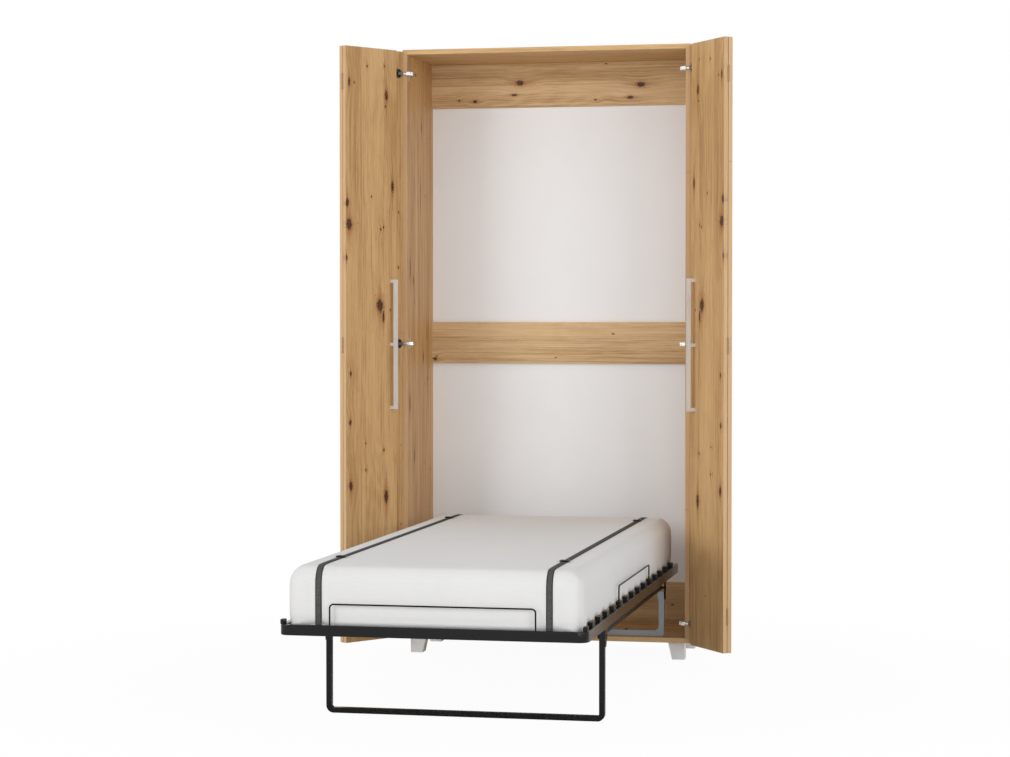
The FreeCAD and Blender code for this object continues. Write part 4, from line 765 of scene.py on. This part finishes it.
def strapPath(x, mesh, values):
    # Y and Z of the band's middle, from the foot rail over the mattress to the head rail
    low, high = (Vector(corner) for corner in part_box("mattress"))
    strapLow, strapHigh = (Vector(corner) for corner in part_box("straps"))
    tree = BVHTree.FromPolygons([vertex.co for vertex in mesh.vertices],
                                [tuple(face.vertices) for face in mesh.polygons])
    lift = values["lift"] + values["thick"] / 2
    inset = values["inset"] - values["thick"] / 2
    frontY, backY = strapLow.y + inset, strapHigh.y - inset
    corner, sideStart = values["corner"], low.z + values["sideFrom"]

    def touch(start, way):
        # the band rests on the nearest of three places across its width
        hits = []
        for aside in (-0.45, 0.0, 0.45):
            hit = tree.ray_cast(Vector((x + aside * values["wide"], *start)), Vector((0, *way)), 0.6)
            if hit[0] is not None:
                hits.append((hit[3], hit[0]))
        return min(hits, key=lambda item: item[0])[1]

    def turned(step, y, way):
        # one place on the rounded corner, from its side to its top
        turn = math.radians(90) * step / values["cornerSteps"]
        across, up = way * math.cos(turn), math.sin(turn)
        hit = touch((y - across * 0.4, high.z - corner + up * 0.4), (across, -up))
        return hit.y - across * lift, hit.z + up * lift

    levels = [sideStart + (high.z - corner - sideStart) * step / values["sideSteps"]
              for step in range(values["sideSteps"])]
    turns = range(values["cornerSteps"] + 1)
    path = [(frontY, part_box("foot_rail")[1][2] - values["anchorDrop"]), (frontY, low.z - 0.01),
            (frontY, low.z + 0.02)]
    for level in levels:
        path.append((min(frontY, touch((low.y - 0.2, level), (1, 0)).y - lift), level))
    path += [turned(step, low.y + corner, 1) for step in turns]
    for step in range(1, values["topSteps"]):
        y = low.y + corner + (high.y - low.y - 2 * corner) * step / values["topSteps"]
        path.append((y, touch((y, high.z + 0.2), (0, -1)).z + lift))
    path += [turned(step, high.y - corner, -1) for step in reversed(turns)]
    for level in reversed(levels):
        path.append((max(backY, touch((high.y + 0.2, level), (-1, 0)).y + lift), level))
    path += [(backY, low.z + 0.02), (backY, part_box("head_rail")[1][2] + values["headRise"])]
    return path


def strapTree(values):
    tree = bpy.data.node_groups.new("strapAlongPath", "GeometryNodeTree")
    face = tree.interface
    face.new_socket("Path", in_out="INPUT", socket_type="NodeSocketGeometry")
    for name, key in (("Band width", "wide"), ("Band thickness", "thick"), ("Edge radius", "edge"),
                      ("Sample length", "step"), ("Stitch pitch", "stitchPitch"),
                      ("Stitch length", "stitchLong"), ("Stitch thickness", "stitchThick"),
                      ("Stitch inset", "stitchInset")):
        face.new_socket(name, in_out="INPUT", socket_type="NodeSocketFloat").default_value = values[key]
    face.new_socket("Seed", in_out="INPUT", socket_type="NodeSocketInt").default_value = values["seed"]
    face.new_socket("Webbing", in_out="INPUT", socket_type="NodeSocketMaterial")
    face.new_socket("Strap", in_out="OUTPUT", socket_type="NodeSocketGeometry")
    given = tree.nodes.new("NodeGroupInput").outputs
    curve = place(tree, "GeometryNodeMeshToCurve", {"Mesh": given["Path"]}).outputs[0]
    curve = place(tree, "GeometryNodeResampleCurve", {"Curve": curve, "Length": given["Sample length"]},
                  mode="LENGTH").outputs[0]
    level = place(tree, "GeometryNodeSetCurveNormal", {"Curve": curve}, mode="FREE")
    level.inputs["Normal"].default_value = (1, 0, 0)
    curve = level.outputs[0]
    profile = place(tree, "GeometryNodeCurvePrimitiveQuadrilateral", {
        "Width": given["Band width"], "Height": given["Band thickness"]}, mode="RECTANGLE").outputs[0]
    profile = place(tree, "GeometryNodeFilletCurve", {
        "Curve": profile, "Radius": given["Edge radius"], "Count": 2}, mode="POLY").outputs[0]
    body = place(tree, "GeometryNodeCurveToMesh", {
        "Curve": curve, "Profile Curve": profile, "Fill Caps": True}).outputs[0]
    # sewn rows near both ends stand on the band's outer face
    joined = tree.nodes.new("GeometryNodeJoinGeometry")
    tree.links.new(body, joined.inputs[0])
    stitch = place(tree, "GeometryNodeMeshUVSphere", {"Segments": 6, "Rings": 4, "Radius": 0.5}).outputs[0]
    jitter = place(tree, "FunctionNodeRandomValue", {"Seed": given["Seed"]}, data_type="FLOAT")
    jitter.inputs[2].default_value = 0.85
    jitter.inputs[3].default_value = 1.1
    size = place(tree, "ShaderNodeCombineXYZ", {
        0: share(tree, given["Stitch thickness"], 2.0), 1: share(tree, given["Stitch thickness"], 1.4),
        2: share(tree, given["Stitch length"], jitter.outputs[1])}).outputs[0]
    reach = math2(tree, "SUBTRACT", share(tree, given["Band width"], 0.5), given["Stitch inset"])
    outward = share(tree, given["Band thickness"], values["outward"])
    for start, end in values["sewn"]:
        part = place(tree, "GeometryNodeTrimCurve", {"Curve": curve}, mode="LENGTH")
        part.inputs[4].default_value = start
        part.inputs[5].default_value = end
        spots = place(tree, "GeometryNodeCurveToPoints", {
            "Curve": part.outputs[0], "Length": given["Stitch pitch"]}, mode="LENGTH")
        for side in (-1, 1):
            rows = place(tree, "GeometryNodeInstanceOnPoints", {
                "Points": spots.outputs["Points"], "Instance": stitch, "Rotation": spots.outputs["Rotation"],
                "Scale": size}).outputs[0]
            shift = place(tree, "ShaderNodeCombineXYZ", {0: share(tree, reach, side), 1: outward}).outputs[0]
            rows = place(tree, "GeometryNodeTranslateInstances", {
                "Instances": rows, "Translation": shift}).outputs[0]
            tree.links.new(rows, joined.inputs[0])
    real = place(tree, "GeometryNodeRealizeInstances", {"Geometry": joined.outputs[0]}).outputs[0]
    painted = place(tree, "GeometryNodeSetMaterial", {
        "Geometry": real, "Material": given["Webbing"]}).outputs[0]
    done = tree.nodes.new("NodeGroupOutput")
    tree.links.new(painted, done.inputs[0])
    return tree


def makeStrap(name, x, tree, values):
    path = [(x, y, z) for y, z in strapPath(x, mattress.data, values)]
    line = bpy.data.meshes.new(name + "Path")
    line.from_pydata(path, [(spot, spot + 1) for spot in range(len(path) - 1)], [])
    holder = bpy.data.objects.new(name, line)
    scene.collection.objects.link(holder)
    made = holder.modifiers.new("strap", "NODES")
    made.node_group = tree
    for item in tree.interface.items_tree:
        if item.in_out == "INPUT" and item.name == "Webbing":
            made[item.identifier] = band
        elif item.in_out == "INPUT" and item.name != "Path":
            made[item.identifier] = item.default_value
    applyAll(holder)
    smooth(holder)
    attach(holder, "bed")
    return holder


grown = strapTree(strapValues)
straps = [makeStrap("strapBand_" + side, x, grown, strapValues)
          for side, x in (("left", -strapPlace), ("right", strapPlace))]
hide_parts("straps")
print("straps made")
